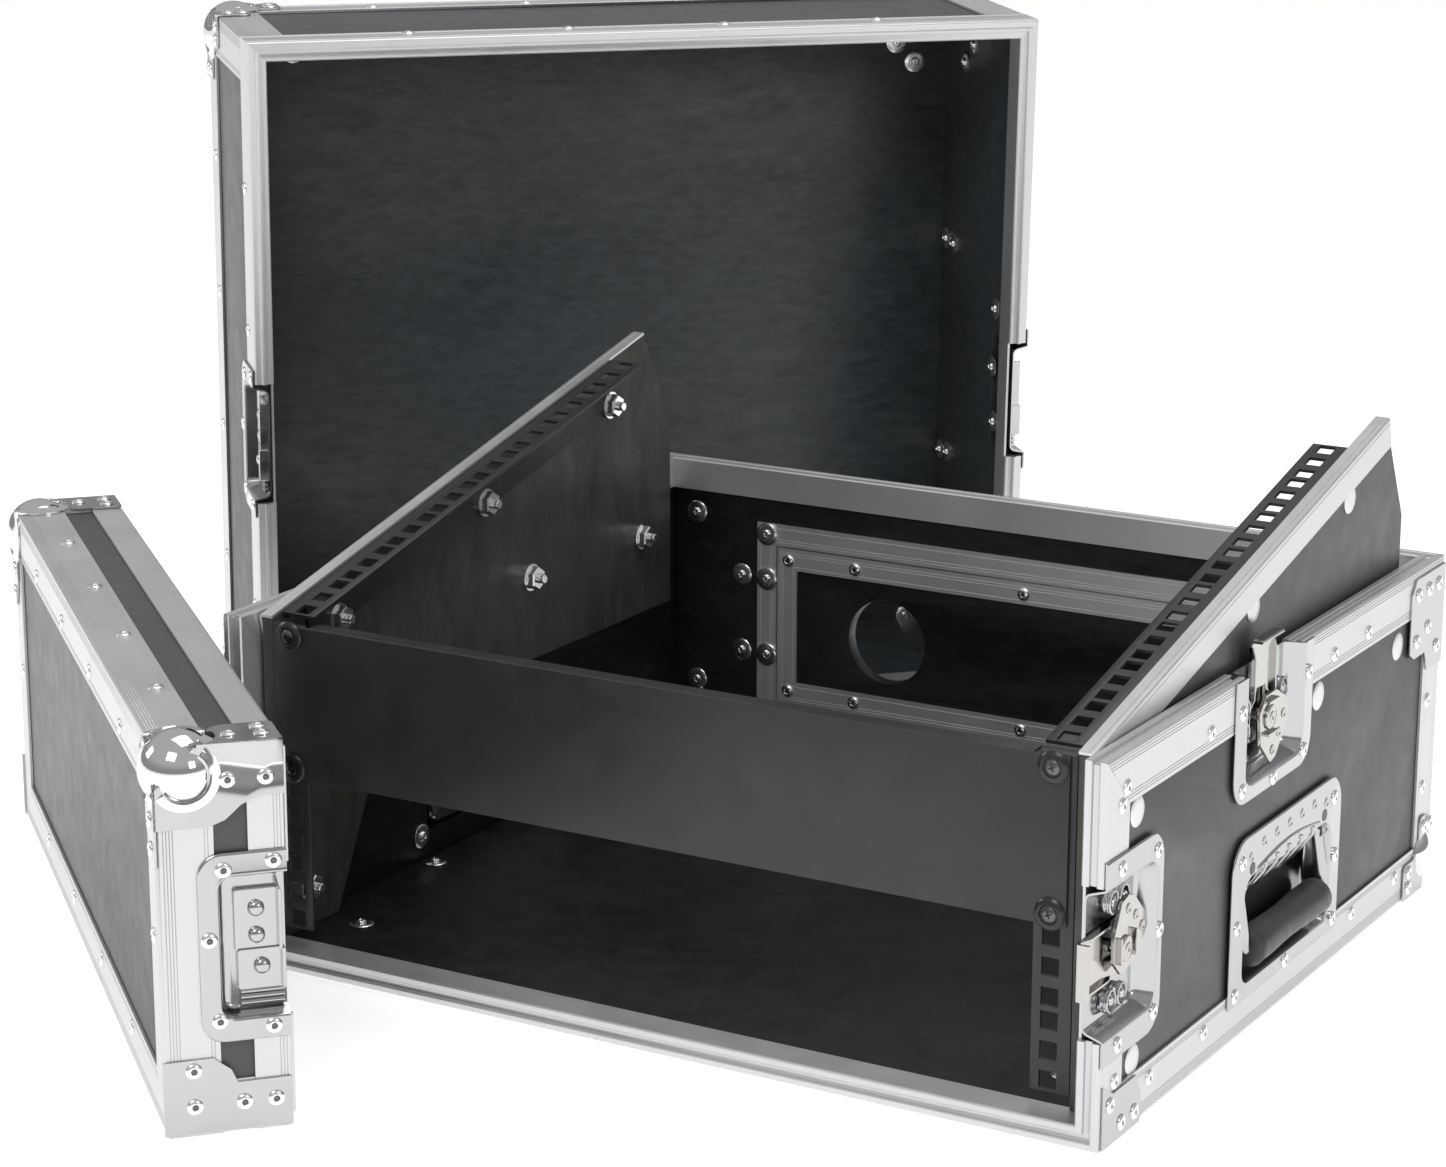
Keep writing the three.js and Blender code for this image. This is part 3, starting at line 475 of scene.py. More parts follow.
def wood_material(name, dark, pale, patch, speck, stretch, gloss, specular):
    """Stained plywood: short grain with pores, cloudy stain, pale specks, scratches, rough varnish."""
    n = Nodes(name, dark, 0, 0.45)
    n.shade({"Specular IOR Level": specular})
    grain = n.noise(95, 9, 0.68, stretch)
    color = n.ramp(grain, 0.36, 0.68, dark, pale)
    color = n.mix(n.ramp(n.noise(5, 6, 0.65), 0.42, 0.72, 0.0, 0.6), color, patch)
    color = n.mix(n.ramp(n.noise(420, 3, 0.7), 0.68, 0.75, 0.0, 0.45), color, speck)
    scratches = n.ramp(n.noise(30, 10, 0.75, (5, 1, 0.6)), 0.70, 0.73, 0.0, 0.3)
    color = n.mix(scratches, color, speck)
    rough = n.ramp(n.noise(35, 8, 0.7, stretch), 0.32, 0.68, gloss, gloss + 0.24)
    pores = n.bump(n.noise(330, 5, 0.7, stretch), 0.22, 0.7)
    return n.set(color, rough, n.bump(n.noise(30, 6, 0.65, stretch), 0.8, 0.55, pores))


def metal_material(name, color, roughness, spread, streaks, along="Object", wear=0.25, metallic=1):
    """Bare or plated metal: brushing streaks, cloudy roughness and faint handling marks."""
    n = Nodes(name, color, metallic, roughness)
    streak = n.noise(1, 5, 0.65, streaks, along)
    cloud = n.noise(18, 4, 0.6)
    both = n.mix(0.5, streak, cloud)
    rough = n.ramp(both, 0.3, 0.7, max(0.03, roughness - spread), roughness + spread)
    dark = tuple(c * (1 - 0.22 * wear) for c in color)
    tone = n.ramp(both, 0.35, 0.65, dark, color)
    marks = n.ramp(n.noise(70, 9, 0.8, (1, 1, 3)), 0.69, 0.76, 0.0, wear)
    tone = n.mix(marks, tone, tuple(c * 0.62 for c in color))
    return n.set(tone, rough, n.bump(streak, 0.03, 0.35, n.bump(n.noise(22, 3), 0.35, 0.12)))


def powder_material():
    """Black powder coat: a fine orange peel, with slightly paler rubbed patches."""
    n = Nodes("black_powder_coat", (0.026, 0.028, 0.029), 0, 0.42)
    color = n.ramp(n.noise(14, 6, 0.6), 0.35, 0.75, (0.023, 0.025, 0.026), (0.034, 0.036, 0.038))
    rub = n.ramp(n.noise(60, 9, 0.8), 0.69, 0.76, 0.0, 0.22)
    color = n.mix(rub, color, (0.1, 0.1, 0.105))
    rough = n.ramp(n.noise(45, 4), 0.3, 0.7, 0.34, 0.5)
    return n.set(color, rough, n.bump(n.noise(1100, 2, 0.5), 0.06, 0.6))


def rubber_material():
    """Black rubber sleeve with a dusty sheen and a fine pebble."""
    n = Nodes("black_rubber", (0.045, 0.046, 0.05), 0, 0.45)
    color = n.ramp(n.noise(50, 6, 0.7), 0.35, 0.75, (0.035, 0.036, 0.04), (0.062, 0.063, 0.068))
    rough = n.ramp(n.noise(80, 4), 0.3, 0.7, 0.34, 0.5)
    return n.set(color, rough, n.bump(n.noise(900, 3, 0.6), 0.1, 0.5))


def plastic_material():
    """Black moulded plastic of the cup washers."""
    n = Nodes("black_plastic", (0.02, 0.02, 0.021), 0, 0.25)
    color = n.ramp(n.noise(90, 4), 0.3, 0.7, (0.016, 0.016, 0.017), (0.028, 0.028, 0.029))
    rough = n.ramp(n.noise(120, 3), 0.3, 0.7, 0.18, 0.32)
    return n.set(color, rough, n.bump(n.noise(1500, 2), 0.03, 0.4))


laminate = laminate_material()
stained = wood_material(
    "black_stained_plywood",
    (0.005, 0.0055, 0.005), (0.018, 0.0185, 0.018), (0.022, 0.023, 0.022), (0.09, 0.09, 0.085),
    (0.6, 0.6, 2.0), 0.30, 0.25,
)
# The lid's inside uses a lit copy of the black-stained plywood: its colour is brighter and bluish,
# painted light and sheen.
lid_lit_plywood = wood_material(
    "lit_lid_plywood",
    (0.022, 0.0265, 0.030), (0.055, 0.063, 0.069), (0.066, 0.074, 0.080), (0.14, 0.14, 0.14),
    (0.7, 0.7, 2.0), 0.26, 0.5,
)
inner_stained = wood_material(
    "grey_stained_plywood",
    (0.034, 0.035, 0.031), (0.07, 0.071, 0.064), (0.085, 0.086, 0.078), (0.16, 0.16, 0.15),
    (1, 1, 0.4), 0.32, 0.4,
)
aluminium = metal_material(
    "brushed_aluminium", (0.72, 0.725, 0.735), 0.38, 0.10, (8, 2200, 1), "UV", 0.3, metallic=0.72
)
chrome = metal_material("bright_plate", (0.53, 0.535, 0.545), 0.17, 0.07, (25, 25, 25), wear=0.25)
ball_chrome = metal_material("polished_plate", (0.80, 0.805, 0.815), 0.07, 0.035, (15, 15, 15), wear=0.1)
nickel = metal_material("nickel_plate", (0.56, 0.545, 0.52), 0.14, 0.07, (40, 40, 40), wear=0.3)
zinc = metal_material("zinc_rivet", (0.90, 0.90, 0.90), 0.24, 0.08, (60, 60, 60), wear=0.2)
dark_steel = metal_material("dark_steel", (0.16, 0.16, 0.165), 0.28, 0.08, (60, 60, 60), wear=0.3)
disc_metal = metal_material("dull_disc", (0.82, 0.82, 0.82), 0.45, 0.08, (50, 50, 50), wear=0.2)
powder = powder_material()
rubber = rubber_material()
plastic = plastic_material()


# ---- Fasteners, drawn standing on z = 0 ----


def facing(point, normal):
    """The matrix that stands a fastener drawn along Z on a point, along a normal."""
    normal = Vector(normal)
    return Matrix.Translation(point) @ Vector((0, 0, 1)).rotation_difference(normal).to_matrix().to_4x4()


RIVET_DOME = [(4.3, 0), (4.3, 0.4), (3.8, 1), (2.7, 1.4), (1.8, 1.5), (1.45, 1.1), (1.3, 0.1)]
POP_RIVET = lathe([(0, 0), *RIVET_DOME, (0, 0.1)], 18)
MANDREL = lathe([(0, 0), (1.3, 0), (1.25, 0.75), (0.9, 0.85), (0, 0.9)], 12)
WASHER = lathe([(0, 0), (7.2, 0), (7.5, 0.3), (7.5, 0.8), (7.0, 1.2), (4.6, 1.3), (0, 1.3)], 28)
RIVET_HEAD = lathe([(0, 0), (3.3, 0), (3.2, 0.8), (2.4, 1.6), (1.3, 1.7), (1, 0.9), (0, 0.7)], 16)
WASHERED_RIVET = merged(WASHER, moved(RIVET_HEAD, shift(0, 0, 1.3)))
DISC = lathe([(0, 0), (8.2, 0), (8.2, 0.5), (7.6, 0.95), (4, 1.1), (0, 1.15)], 28)
NUT = merged(
    lathe([(0, 0), (8.5, 0), (8.5, 1.2), (0, 1.2)], 24),
    moved(lathe([(0, 0), (6.8, 0), (7.4, 0.6), (7.4, 4.6), (6.6, 5.4), (0, 5.4)], 6), shift(0, 0, 1.2)),
    moved(lathe([(0, 0), (2.9, 0), (2.9, 3.4), (2.4, 4.0), (0, 4.0)], 14), shift(0, 0, 6.6)),
)
CUP_WASHER = lathe([(0, 0), (8.6, 0), (8.6, 0.6), (7.2, 1.9), (5.4, 2.2), (4.6, 1.2), (0, 1.2)], 28)
# A pan head, and a cross of dark plastic set into it as painted shade for its recess.
PAN_HEAD = lathe([(0, 0), (3.9, 0), (4.2, 0.6), (3.9, 1.6), (2.8, 2.3), (0, 2.6)], 20)
CROSS_BAR = block((-2.0, -0.45, 1.9), (2.0, 0.45, 2.75))
CROSS = merged(*(moved(CROSS_BAR, rotation(a, "Z")) for a in (0.4, 0.4 + math.pi / 2)))


def on_face(axis, level, way, places):
    """(point, normal) of fasteners on the face at `level` on an axis, facing `way` along it."""
    normal = [0, 0, 0]
    normal[axis] = way
    return [((*place[:axis], level, *place[axis:]), tuple(normal)) for place in places]


def fasteners(name, shape, spots, at, material, body):
    """One object of many equal fasteners, each at (point, normal) in the local frame."""
    shapes = [moved(shape, facing(point, normal)) for point, normal in spots]
    return make(name, merged(*shapes), at, material, body)


def pop_rivets(name, places, at, body):
    """Pop rivets at (point, normal), and the broken mandrels in their holes."""
    fasteners(name, POP_RIVET, places, at, zinc, body)
    fasteners(name + "_mandrels", MANDREL, places, at, dark_steel, body)


# ---- Aluminium extrusions ----


def grooved(start, end, grooves):
    """Points of a straight profile edge with small V grooves at distances from its start."""
    start, end = Vector(start), Vector(end)
    along = (end - start).normalized()
    inward = Vector((-along.y, along.x))
    points = [tuple(start)]
    for d in grooves:
        middle = start + along * d
        half = along * GROOVE_HALF
        points += [tuple(p) for p in (middle - half, middle + inward * GROOVE_DEPTH, middle + half)]
    return points + [tuple(end)]


def angle_profile(leg_a, leg_b, ridges=(3.0, 4.6, 6.2, 7.8, 23.6, 25.2)):
    """An L section, its outer corner at (0, 0) and its legs along +a and +b."""
    r = 1.4
    ridges_a = [d for d in ridges if d < leg_a - 1]
    ridges_b = [leg_b - d for d in reversed(ridges) if d < leg_b - 1]
    outer_b = grooved((0, leg_b), (0, r), ridges_b)
    corner = arc(r, r, r, 180, 270, 4)[1:-1]
    outer_a = grooved((r, 0), (leg_a, 0), [d - r for d in ridges_a])
    inner = [(leg_a, SKIN), (SKIN + 0.5, SKIN), (SKIN, SKIN + 0.5), (SKIN, leg_b)]
    return [*outer_b, *corner, *outer_a, *inner]


def rim_profile(leg, tongue, ridges=(2.6, 4.2, 5.8, 22.4, 24.0, 25.6)):
    """A rim section: outer leg at a = 0, cap at b = 0 with a tongue or a groove, and inner leg."""
    r = 1.8
    ridges = [leg - d for d in reversed(ridges) if d < leg - 1]
    outer = grooved((0, leg), (0, r), ridges)
    corner = arc(r, r, r, 180, 270, 4)[1:]
    middle = WALL / 2
    if tongue:
        cap = [(middle - 2.2, 0), (middle - 1.6, -0.3), (middle - 1.2, -1.7), (middle - 0.7, -2)]
    else:
        cap = [(middle - 2.6, 0), (middle - 2.1, 0.5), (middle - 1.9, 2.2), (middle - 1.5, 2.5)]
    cap += [(2 * middle - a, b) for a, b in reversed(cap)]
    inner = [(WALL - 0.8, 0), (WALL, 0.8), (WALL, RIM_LEG), (WALL - SKIN, RIM_LEG), (WALL - SKIN, CAP)]
    return [*outer, *corner, *cap, *inner, (SKIN, CAP), (SKIN, leg)]


def strip(profile, start, end, a_axis, b_axis, start_cut=(0, 0), end_cut=(0, 0)):
    """A section swept from start to end. A cut (ka, kb) moves an end by ka * a + kb * b along it."""
    start, end, a_axis, b_axis = (Vector(v) for v in (start, end, a_axis, b_axis))
    along = (end - start).normalized()
    loops = []
    for point, (ka, kb) in ((start, start_cut), (end, end_cut)):
        loops.append([point + a * a_axis + b * b_axis + (ka * a + kb * b) * along for a, b in profile])
    points, faces = loft(loops)
    if along.dot(a_axis.cross(b_axis)) < 0:
        faces = [tuple(reversed(face)) for face in faces]
    return points, faces


def extrusions(node, strips, at, body, trims=()):
    """A CAD node drawn as strips, with UVs in metres along and across each strip for its brushing."""
    name = node + "_profile"
    mesh = make(name, merged(*strips), at, aluminium, body, 0, [node], trims).data
    layer = mesh.uv_layers.new(name="brushing")
    for polygon in mesh.polygons:
        corners = [mesh.vertices[v].co for v in polygon.vertices]
        edges = [corners[i] - corners[i - 1] for i in range(len(corners))]
        along = max(edges, key=lambda e: e.length).normalized()
        across = along.cross(polygon.normal)
        for loop in polygon.loop_indices:
            co = mesh.vertices[mesh.loops[loop].vertex_index].co
            layer.data[loop].uv = (co.dot(along), co.dot(across))


INNER_LEG = [(WALL - SKIN, CAP), (WALL, CAP), (WALL, RIM_LEG), (WALL - SKIN, RIM_LEG)]
MITRE = ((1, 0), (-1, 0))


def notched_run(profile, low, high, middle, point_at, a_axis, b_axis, start_cut, end_cut):
    """A run of a rim section, cut down to its inner leg where hardware sits at `middle`."""
    notch = TUB_HALF + GAP
    ends = [point_at(v) for v in (low, middle - notch, middle + notch, high)]
    return [
        strip(profile, ends[0], ends[1], a_axis, b_axis, start_cut),
        strip(profile, ends[2], ends[3], a_axis, b_axis, end_cut=end_cut),
        strip(INNER_LEG, ends[1], ends[2], a_axis, b_axis),
    ]


def base_extrusions():
    rim = rim_profile(EDGE_LEG, tongue=False)
    angle = angle_profile(EDGE_LEG, EDGE_LEG)
    start = EDGE_LEG + GAP
    top, front, edges = [], [], []
    in_y, up = (0, 1, 0), (0, 0, 1)
    out_y, down = (0, -1, 0), (0, 0, -1)
    for s in (1, -1):
        side, inward = s * HALF_WIDTH, (-s, 0, 0)
        along = lambda y, side=side: (side, y, HEIGHT)
        upright = lambda z, side=side: (side, 0, z)
        top += notched_run(rim, 0, DEPTH, TOP_LATCH_Y, along, inward, down, (0, 1), (-1, 0))
        front += notched_run(rim, 0, HEIGHT - 0.2, FRONT_LATCH_Z, upright, inward, in_y, (1, 0), (0, -1))
        edges.append(strip(angle, (side, start, 0), (side, DEPTH, 0), inward, up, (0, 0), (-1, 0)))
        edges.append(strip(angle, (side, DEPTH, start), (side, DEPTH, HEIGHT - start), inward, out_y))
    left, right = -HALF_WIDTH, HALF_WIDTH
    top.append(strip(rim, (left, DEPTH, HEIGHT), (right, DEPTH, HEIGHT), out_y, down, *MITRE))
    front.append(strip(rim, (left, 0, 0), (right, 0, 0), up, in_y, *MITRE))
    edges.append(strip(angle, (left, DEPTH, 0), (right, DEPTH, 0), out_y, up, *MITRE))
    extrusions("top_rim", top, BASE, "base")
    extrusions("front_frame", front, BASE, "base")
    trims = [corner_trim((s * HALF_WIDTH, DEPTH, 0), (-s, -1, 1)) for s in (1, -1)]
    extrusions("base_edging", edges, BASE, "base", trims)


def cover_extrusions(name, at, body, size, keeper_y, trims):
    """The mitred rim and the edging of the lid or of the front cover."""
    depth, length, rim_leg = size
    rim = rim_profile(rim_leg, tongue=True)
    angle = angle_profile(EDGE_LEG, EDGE_LEG)
    rims, edges = [], []
    down, up = (0, 0, -1), (0, 0, 1)
    for s in (1, -1):
        side, inward = s * HALF_WIDTH, (-s, 0, 0)
        along = lambda y, side=side: (side, y, 0)
        rims += notched_run(rim, 0, length, keeper_y, along, inward, down, *MITRE)
        edges.append(strip(angle, (side, 0, -depth), (side, length, -depth), inward, up, *MITRE))
        for y, across in ((0, (0, 1, 0)), (length, (0, -1, 0))):
            low, high = (side, y, EDGE_LEG + GAP - depth), (side, y, -rim_leg - GAP)
            edges.append(strip(angle, low, high, inward, across))
    for y, inward in ((0, (0, 1, 0)), (length, (0, -1, 0))):
        rims.append(strip(rim, (-HALF_WIDTH, y, 0), (HALF_WIDTH, y, 0), inward, down, *MITRE))
        edges.append(strip(angle, (-HALF_WIDTH, y, -depth), (HALF_WIDTH, y, -depth), inward, up, *MITRE))
    extrusions(name + "_rim", rims, at, body)
    extrusions(name + "_edging", edges, at, body, trims)


def door_ring(node, inset, outward, body):
    """Four mitred lengths of channel round the door opening or round the leaf."""
    half, low, high = DOOR_HALF_WIDTH - inset, DOOR_LOW + inset, DOOR_HIGH - inset
    inner, outer = WALL - GAP, GAP
    face = DOOR_FRAME
    low_leg, high_leg = outer + 1.2, inner - 1.2
    profile = [
        *grooved((0, outer), (face, outer), (2.6, 4.4, 11.6)),
        *((face, low_leg), (SKIN, low_leg), (SKIN, high_leg), (face, high_leg)),
        *grooved((face, inner), (0, inner), (2.6, 9.8, 11.6)),
    ]
    cut = ((-outward, 0), (outward, 0))
    back, y = (0, -1, 0), DEPTH
    strips = []
    for way, level in ((-outward, low), (outward, high)):
        strips.append(strip(profile, (-half, y, level), (half, y, level), (0, 0, way), back, *cut))
    for way, side in ((-outward, -half), (outward, half)):
        strips.append(strip(profile, (side, y, low), (side, y, high), (way, 0, 0), back, *cut))
    extrusions(node, strips, BASE, body)


# ---- Pressed sheet metal ----


def pressed(node, loops, at, body, cut_z=None):
    """A CAD node drawn as plated sheet, in loops from its outer edge to its floor, with X out."""
    name = node + "_sheet"
    sheet = new_mesh(name, loft(loops, close_start=False))
    with edited(sheet) as clean:
        if cut_z is not None:
            cut_off(clean, (0, 0, cut_z), (0, 0, 1), close=False)
        bmesh.ops.transform(clean, matrix=at, verts=clean.verts)
        if at.determinant() < 0:
            bmesh.ops.reverse_faces(clean, faces=clean.faces)
    piece = finish_object(name, sheet, chrome, body, 0, [node])
    shell = piece.modifiers.new("thickness", "SOLIDIFY")
    shell.thickness = SHEET * MM
    shell.offset = -1
    round_edges(piece, 0.3, 50)


def dish_loops(flange, mouth, depth, draft=2.5):
    """Loops of a dish: rolled flange edge, flat flange, rounded mouth, drafted walls, filleted floor."""
    steps = [
        (flange, 0.0, 0.35),
        (flange, 0.0, 0.9),
        (flange, -0.5, 1.4),
        (flange, -1.2, 1.55),
        (mouth, 2.6, 1.55),
        (mouth, 1.5, 1.9),
        (mouth, 0.7, 1.6),
        (mouth, 0.0, 0.4),
        (mouth, -draft, 2.2 - depth),
        (mouth, -draft - 0.8, 0.9 - depth),
        (mouth, -draft - 2.4, -depth),
    ]
    return [[(x, y, z) for y, z in grown(outline, amount)] for outline, amount, x in steps]


SIDES = {"right": Matrix.Identity(4), "left": Matrix.Diagonal((-1, 1, 1, 1))}  # drawn on the right
TOP_LATCH = shift(HALF_WIDTH, TOP_LATCH_Y, HEIGHT - LATCH_HEIGHT)
FRONT_LATCH = shift(HALF_WIDTH, LATCH_HEIGHT, FRONT_LATCH_Z) @ rotation(math.pi / 2, "X")
HANDLE = shift(HALF_WIDTH, HANDLE_Y, HANDLE_Z)


def coil(centre, radius, wire, windings, height, steps=18):
    """A spring wound about X."""
    x, y, z = centre
    path = []
    for i in range(int(windings * steps) + 1):
        a = 2 * math.pi * i / steps
        rise = height * i / (windings * steps)
        path.append((x + rise, y + radius * math.cos(a), z + radius * math.sin(a)))
    return tube(path, wire, 8)


def latch(side, label, place):
    """One butterfly latch: dish, springs, draw hook and wing."""
    at = BASE @ SIDES[side] @ place
    name = f"{side}_{label}_latch"
    flange = rounded(-LATCH_HALF, 0, LATCH_HALF, 100, 16, 16, 6)
    mouth = rounded(-TUB_HALF + 1.5, 9.5, TUB_HALF - 1.5, 96, 8, 8, 6)
    loops = dish_loops(flange, mouth, 9.4)
    top = LATCH_HEIGHT - GAP
    pressed(name + "_dish", loops, at, "base", top)

    spots = [(-46, 52), (46, 52), (-43, 8.5), (43, 8.5), (0, 4.6)]
    pop_rivets(name + "_rivets", on_face(X, FLANGE_FACE, 1, spots), at, "base")
    spring_spots = [(s * 26, SPINDLE_Z + dz) for s in (1, -1) for dz in (-4, 9)]
    springs = [coil((-8.2, y, z), 5.6, 0.8, 3.5, 3.6) for y, z in spring_spots]
    post = [(0, 0), (2.6, 0), (2.6, 4.4), (2.0, 5), (0, 5)]
    posts = [stud(post, 16, -9.3, y, z) for y, z in spring_spots]
    make(name + "_springs", merged(*springs, *posts), at, chrome, "base")

    hook_body, wing_body = name + "_hook", name + "_wing"
    arm = [(-15, 27), (-14, 26), (-5.5, 26), (-5.5, 54), (5.5, 54), (5.5, 26), (14, 26), (15, 27)]
    arm += [(15, 76), (-15, 76)]
    bend = [(-9, 75.5), (-7, 75.5), (-7, 80), *arc(-6, 80, 1, 180, 90, 4), (-1.6, 81)]
    bend += [(-1, 81.6), (-1, 82.4), (-1.6, 83), *arc(-6.5, 80.5, 2.5, 90, 180, 5)]
    wall = [(-9, 44), (-7, 44), (-4.6, 50), (-4.6, 72), (-7, 79), (-9, 79)]
    to_side = rotation(math.pi / 2, "X")
    shapes = [
        moved(plate(arm, -9, -7), ALONG_X),
        moved(plate(bend, -15, 15), to_side),
        moved(plate(wall, 13.4, 15), to_side),
        moved(plate(wall, -15, -13.4), to_side),
    ]
    make(hook_body + "_strip", merged(*shapes), at, nickel, hook_body, 0.35, [hook_body])

    outline = [(27, -3), (25, -10), (11, -25), (4, -27), (-10, -14), (-13, 4), (-5, 12.5), (9, 13)]
    spindle = lathe([(0, -9), (3.6, -9), (3.6, -4), (0, -4)], 18)
    boss_profile = [(0, -2.1), (6.6, -2.1), (6.9, -1.6), (6.9, -0.9), (6.2, -0.4), (3.2, -0.4)]
    boss = lathe([*boss_profile, (2.9, 0.2), (1.5, 0.3), (1.2, -0.3), (0, -0.3)], 24)
    eye = lathe([(0, -2.1), (2.8, -2.1), (2.7, -1.5), (2.0, -1.3), (1.4, -1.7), (0, -1.8)], 16)
    eyes = [moved(eye, shift(y, z, 0)) for y, z in ((20, -3), (14, -12), (6, -20))]
    leaf = [(-6, -9.8), (8, -9.8), (8, -8.2), (-6, -8.2)]
    tabs = [plate(leaf, -2.1, 0.6), plate([(y, -z) for y, z in reversed(leaf)], -2.1, 0.6)]
    flat = plate([*outline, (25, 5)], -4, -2)
    shapes = [moved(s, ALONG_X) for s in (flat, spindle, boss, *eyes, *tabs)]
    wing = moved(merged(*shapes), shift(0, 0, SPINDLE_Z))
    make(wing_body + "_plate", wing, at, nickel, wing_body, 0.3, [wing_body])


def keeper(cover_name, side, at, body):
    """The dish that a hook reaches into, with its strike plates."""
    name = f"{cover_name}_{side}_keeper"
    flange = rounded(-LATCH_HALF + 4, 0, LATCH_HALF - 4, 80, 12, 12, 6)
    mouth = rounded(-TUB_HALF + 3, 10.5, TUB_HALF - 3, 78, 7, 7, 6)
    top = KEEPER_HEIGHT - GAP
    pressed(name, dish_loops(flange, mouth, 8.4, 1.5), at, body, top)
    spots = [(44, 38), (41, 13), (5, 5), (-38, 9), (-43, 36)]
    pop_rivets(name + "_rivets", on_face(X, FLANGE_FACE, 1, spots), at, body)
    plates = [
        plate(rounded(-5, 19, 27, 42, 1.5), -8.4, -6.6),
        plate(rounded(-5, 40.6, 27, 42.4, 0.6), -8.4, -3.0),
        plate(rounded(-25, 20, -4, 43.5, 1.5), -8.4, -5.2),
        plate(rounded(-25, 41.8, -4, 43.8, 0.6), -8.4, -2.2),
    ]
    dome = [(0, 0), (4.4, 0), (4.2, 1.4), (3.1, 2.7), (1.4, 3.3), (0, 3.4)]
    shapes = [moved(p, ALONG_X) for p in plates]
    shapes += [stud(dome, 20, *spot) for spot in ((-6.7, 17, 30), (-6.7, 3, 30), (-5.3, -13, 32))]
    for y in (-26.2, -29.2, -32.2):
        shapes.append(tube([(-6.6, y, 21), (-6.4, y, 43)], 1.5, 10))
    make(name + "_strike", merged(*shapes), at, chrome, body, 0.3)


def handle(side):
    """The recessed spring handle: dish with a pressed ramp, bail and rubber grip."""
    at = BASE @ SIDES[side] @ HANDLE
    name = f"{side}_handle"
    flange = rounded(-78, 0, 78, 93, 3, 18, 7)
    mouth = rounded(-61, 10, 61, 68.5, 8, 10, 7)
    pressed(name + "_dish", dish_loops(flange, mouth, 13.6, 2), at, "base")
    ramp_side = [(-13.8, 49), (-13.8, 68.4), (1.2, 69.5), (0.6, 66.5), (-9, 53), (-12, 49.6)]
    ramp = moved(plate(ramp_side, -44, 44), rotation(math.pi / 2, "X"))
    ribs = []
    for y in (-34, -17, 0, 17, 34):
        path = [(-10.4, y, 52.5), (-5.0, y, 59.5), (0.6, y, 67.0), (1.7, y, 69.8), (1.8, y, 72.5)]
        ribs.append(tube(path, 1.3, 8))
    make(name + "_ramp", merged(ramp, *ribs), at, chrome, "base", 0.6)
    arch = [(1.4, y, 71.5 + 4.5 * math.cos(y / 44 * math.pi / 2)) for y in range(-44, 45, 4)]
    beads = [tube(arch, 1.1, 8)]
    dimple = [(0, 0), (2.8, 0), (2.6, 0.5), (2.0, 0.7), (1.4, 0.3), (0, 0.2)]
    for y in range(-54, 55, 18):
        beads.append(stud(dimple, 14, FLANGE_FACE, y, 80.5 if abs(y) == 54 else 84.5))
    make(name + "_beads", merged(*beads), at, chrome, "base")
    # Thin dark plastic discs paint the shade of the bail's pivot holes; no hole is cut in the dish.
    holes = [stud([(0, 1.4), (3.6, 1.4), (3.6, 1.72), (0, 1.72)], 16, 0, y, 73.5) for y in (-52, 52)]
    make(name + "_pivot_hole_shade", merged(*holes), at, plastic, "base")
    spots = [(-66, 80), (66, 80), (-70.5, 45), (70.5, 45), (-70.5, 7), (70.5, 7), (0, 4.8)]
    pop_rivets(name + "_rivets", on_face(X, FLANGE_FACE, 1, spots), at, "base")

    arm_y, pivot, grip_x, grip_z, bend = 56.8, (-5, 63), -1, 27, 9
    path = [(pivot[0], -arm_y, pivot[1] + 1), (pivot[0], -arm_y, pivot[1] - 3)]
    for i in range(7):
        a = math.pi / 2 * i / 6
        path.append((grip_x, -arm_y + bend * (1 - math.cos(a)), grip_z + bend * (1 - math.sin(a))))
    path += [(x, -y, z) for x, y, z in reversed(path)]
    along_y = rotation(math.pi / 2, "X")
    eye = moved(lathe([(0, -3), (4.9, -3), (4.9, 3), (0, 3)], 18), along_y)
    eyes = [moved(eye, shift(pivot[0], s * (arm_y + 0.6), pivot[1])) for s in (1, -1)]
    rod = merged(tube(path, 4, 14), *eyes)
    make(name + "_bail_rod", rod, at, chrome, name, 0, [name + "_bail"])

    half = 51
    barrel = [(4.3, -half), (7.6, -half), (9.4, -half + 0.8), (10.4, -half + 2.6), (10.1, -half + 8)]
    waist = 8 - half
    barrel += [(9.9 + 0.5 * math.cos(math.pi * t / 6), waist * (1 - t / 6)) for t in range(1, 7)]
    profile = barrel + [(r, -y) for r, y in reversed(barrel[:-1])]
    grip = moved(lathe(profile, 36), shift(grip_x, 0, grip_z) @ along_y)
    make(name + "_grip_sleeve", grip, at, rubber, name, 0, [name + "_grip"])


# ---- Ball corners ----


def corner_block():
    """The case's corner that a ball is pressed over, at the origin with the case at +X +Y +Z."""
    corner = (-GAP, -GAP, -GAP)
    mesh = new_mesh("corner_tool", block(corner, (90, 90, 90)))
    with edited(mesh) as clean:
        cut_off(clean, *corner_trim(corner, (1, 1, 1)))
        bmesh.ops.recalc_face_normals(clean, faces=clean.faces)
    return mesh


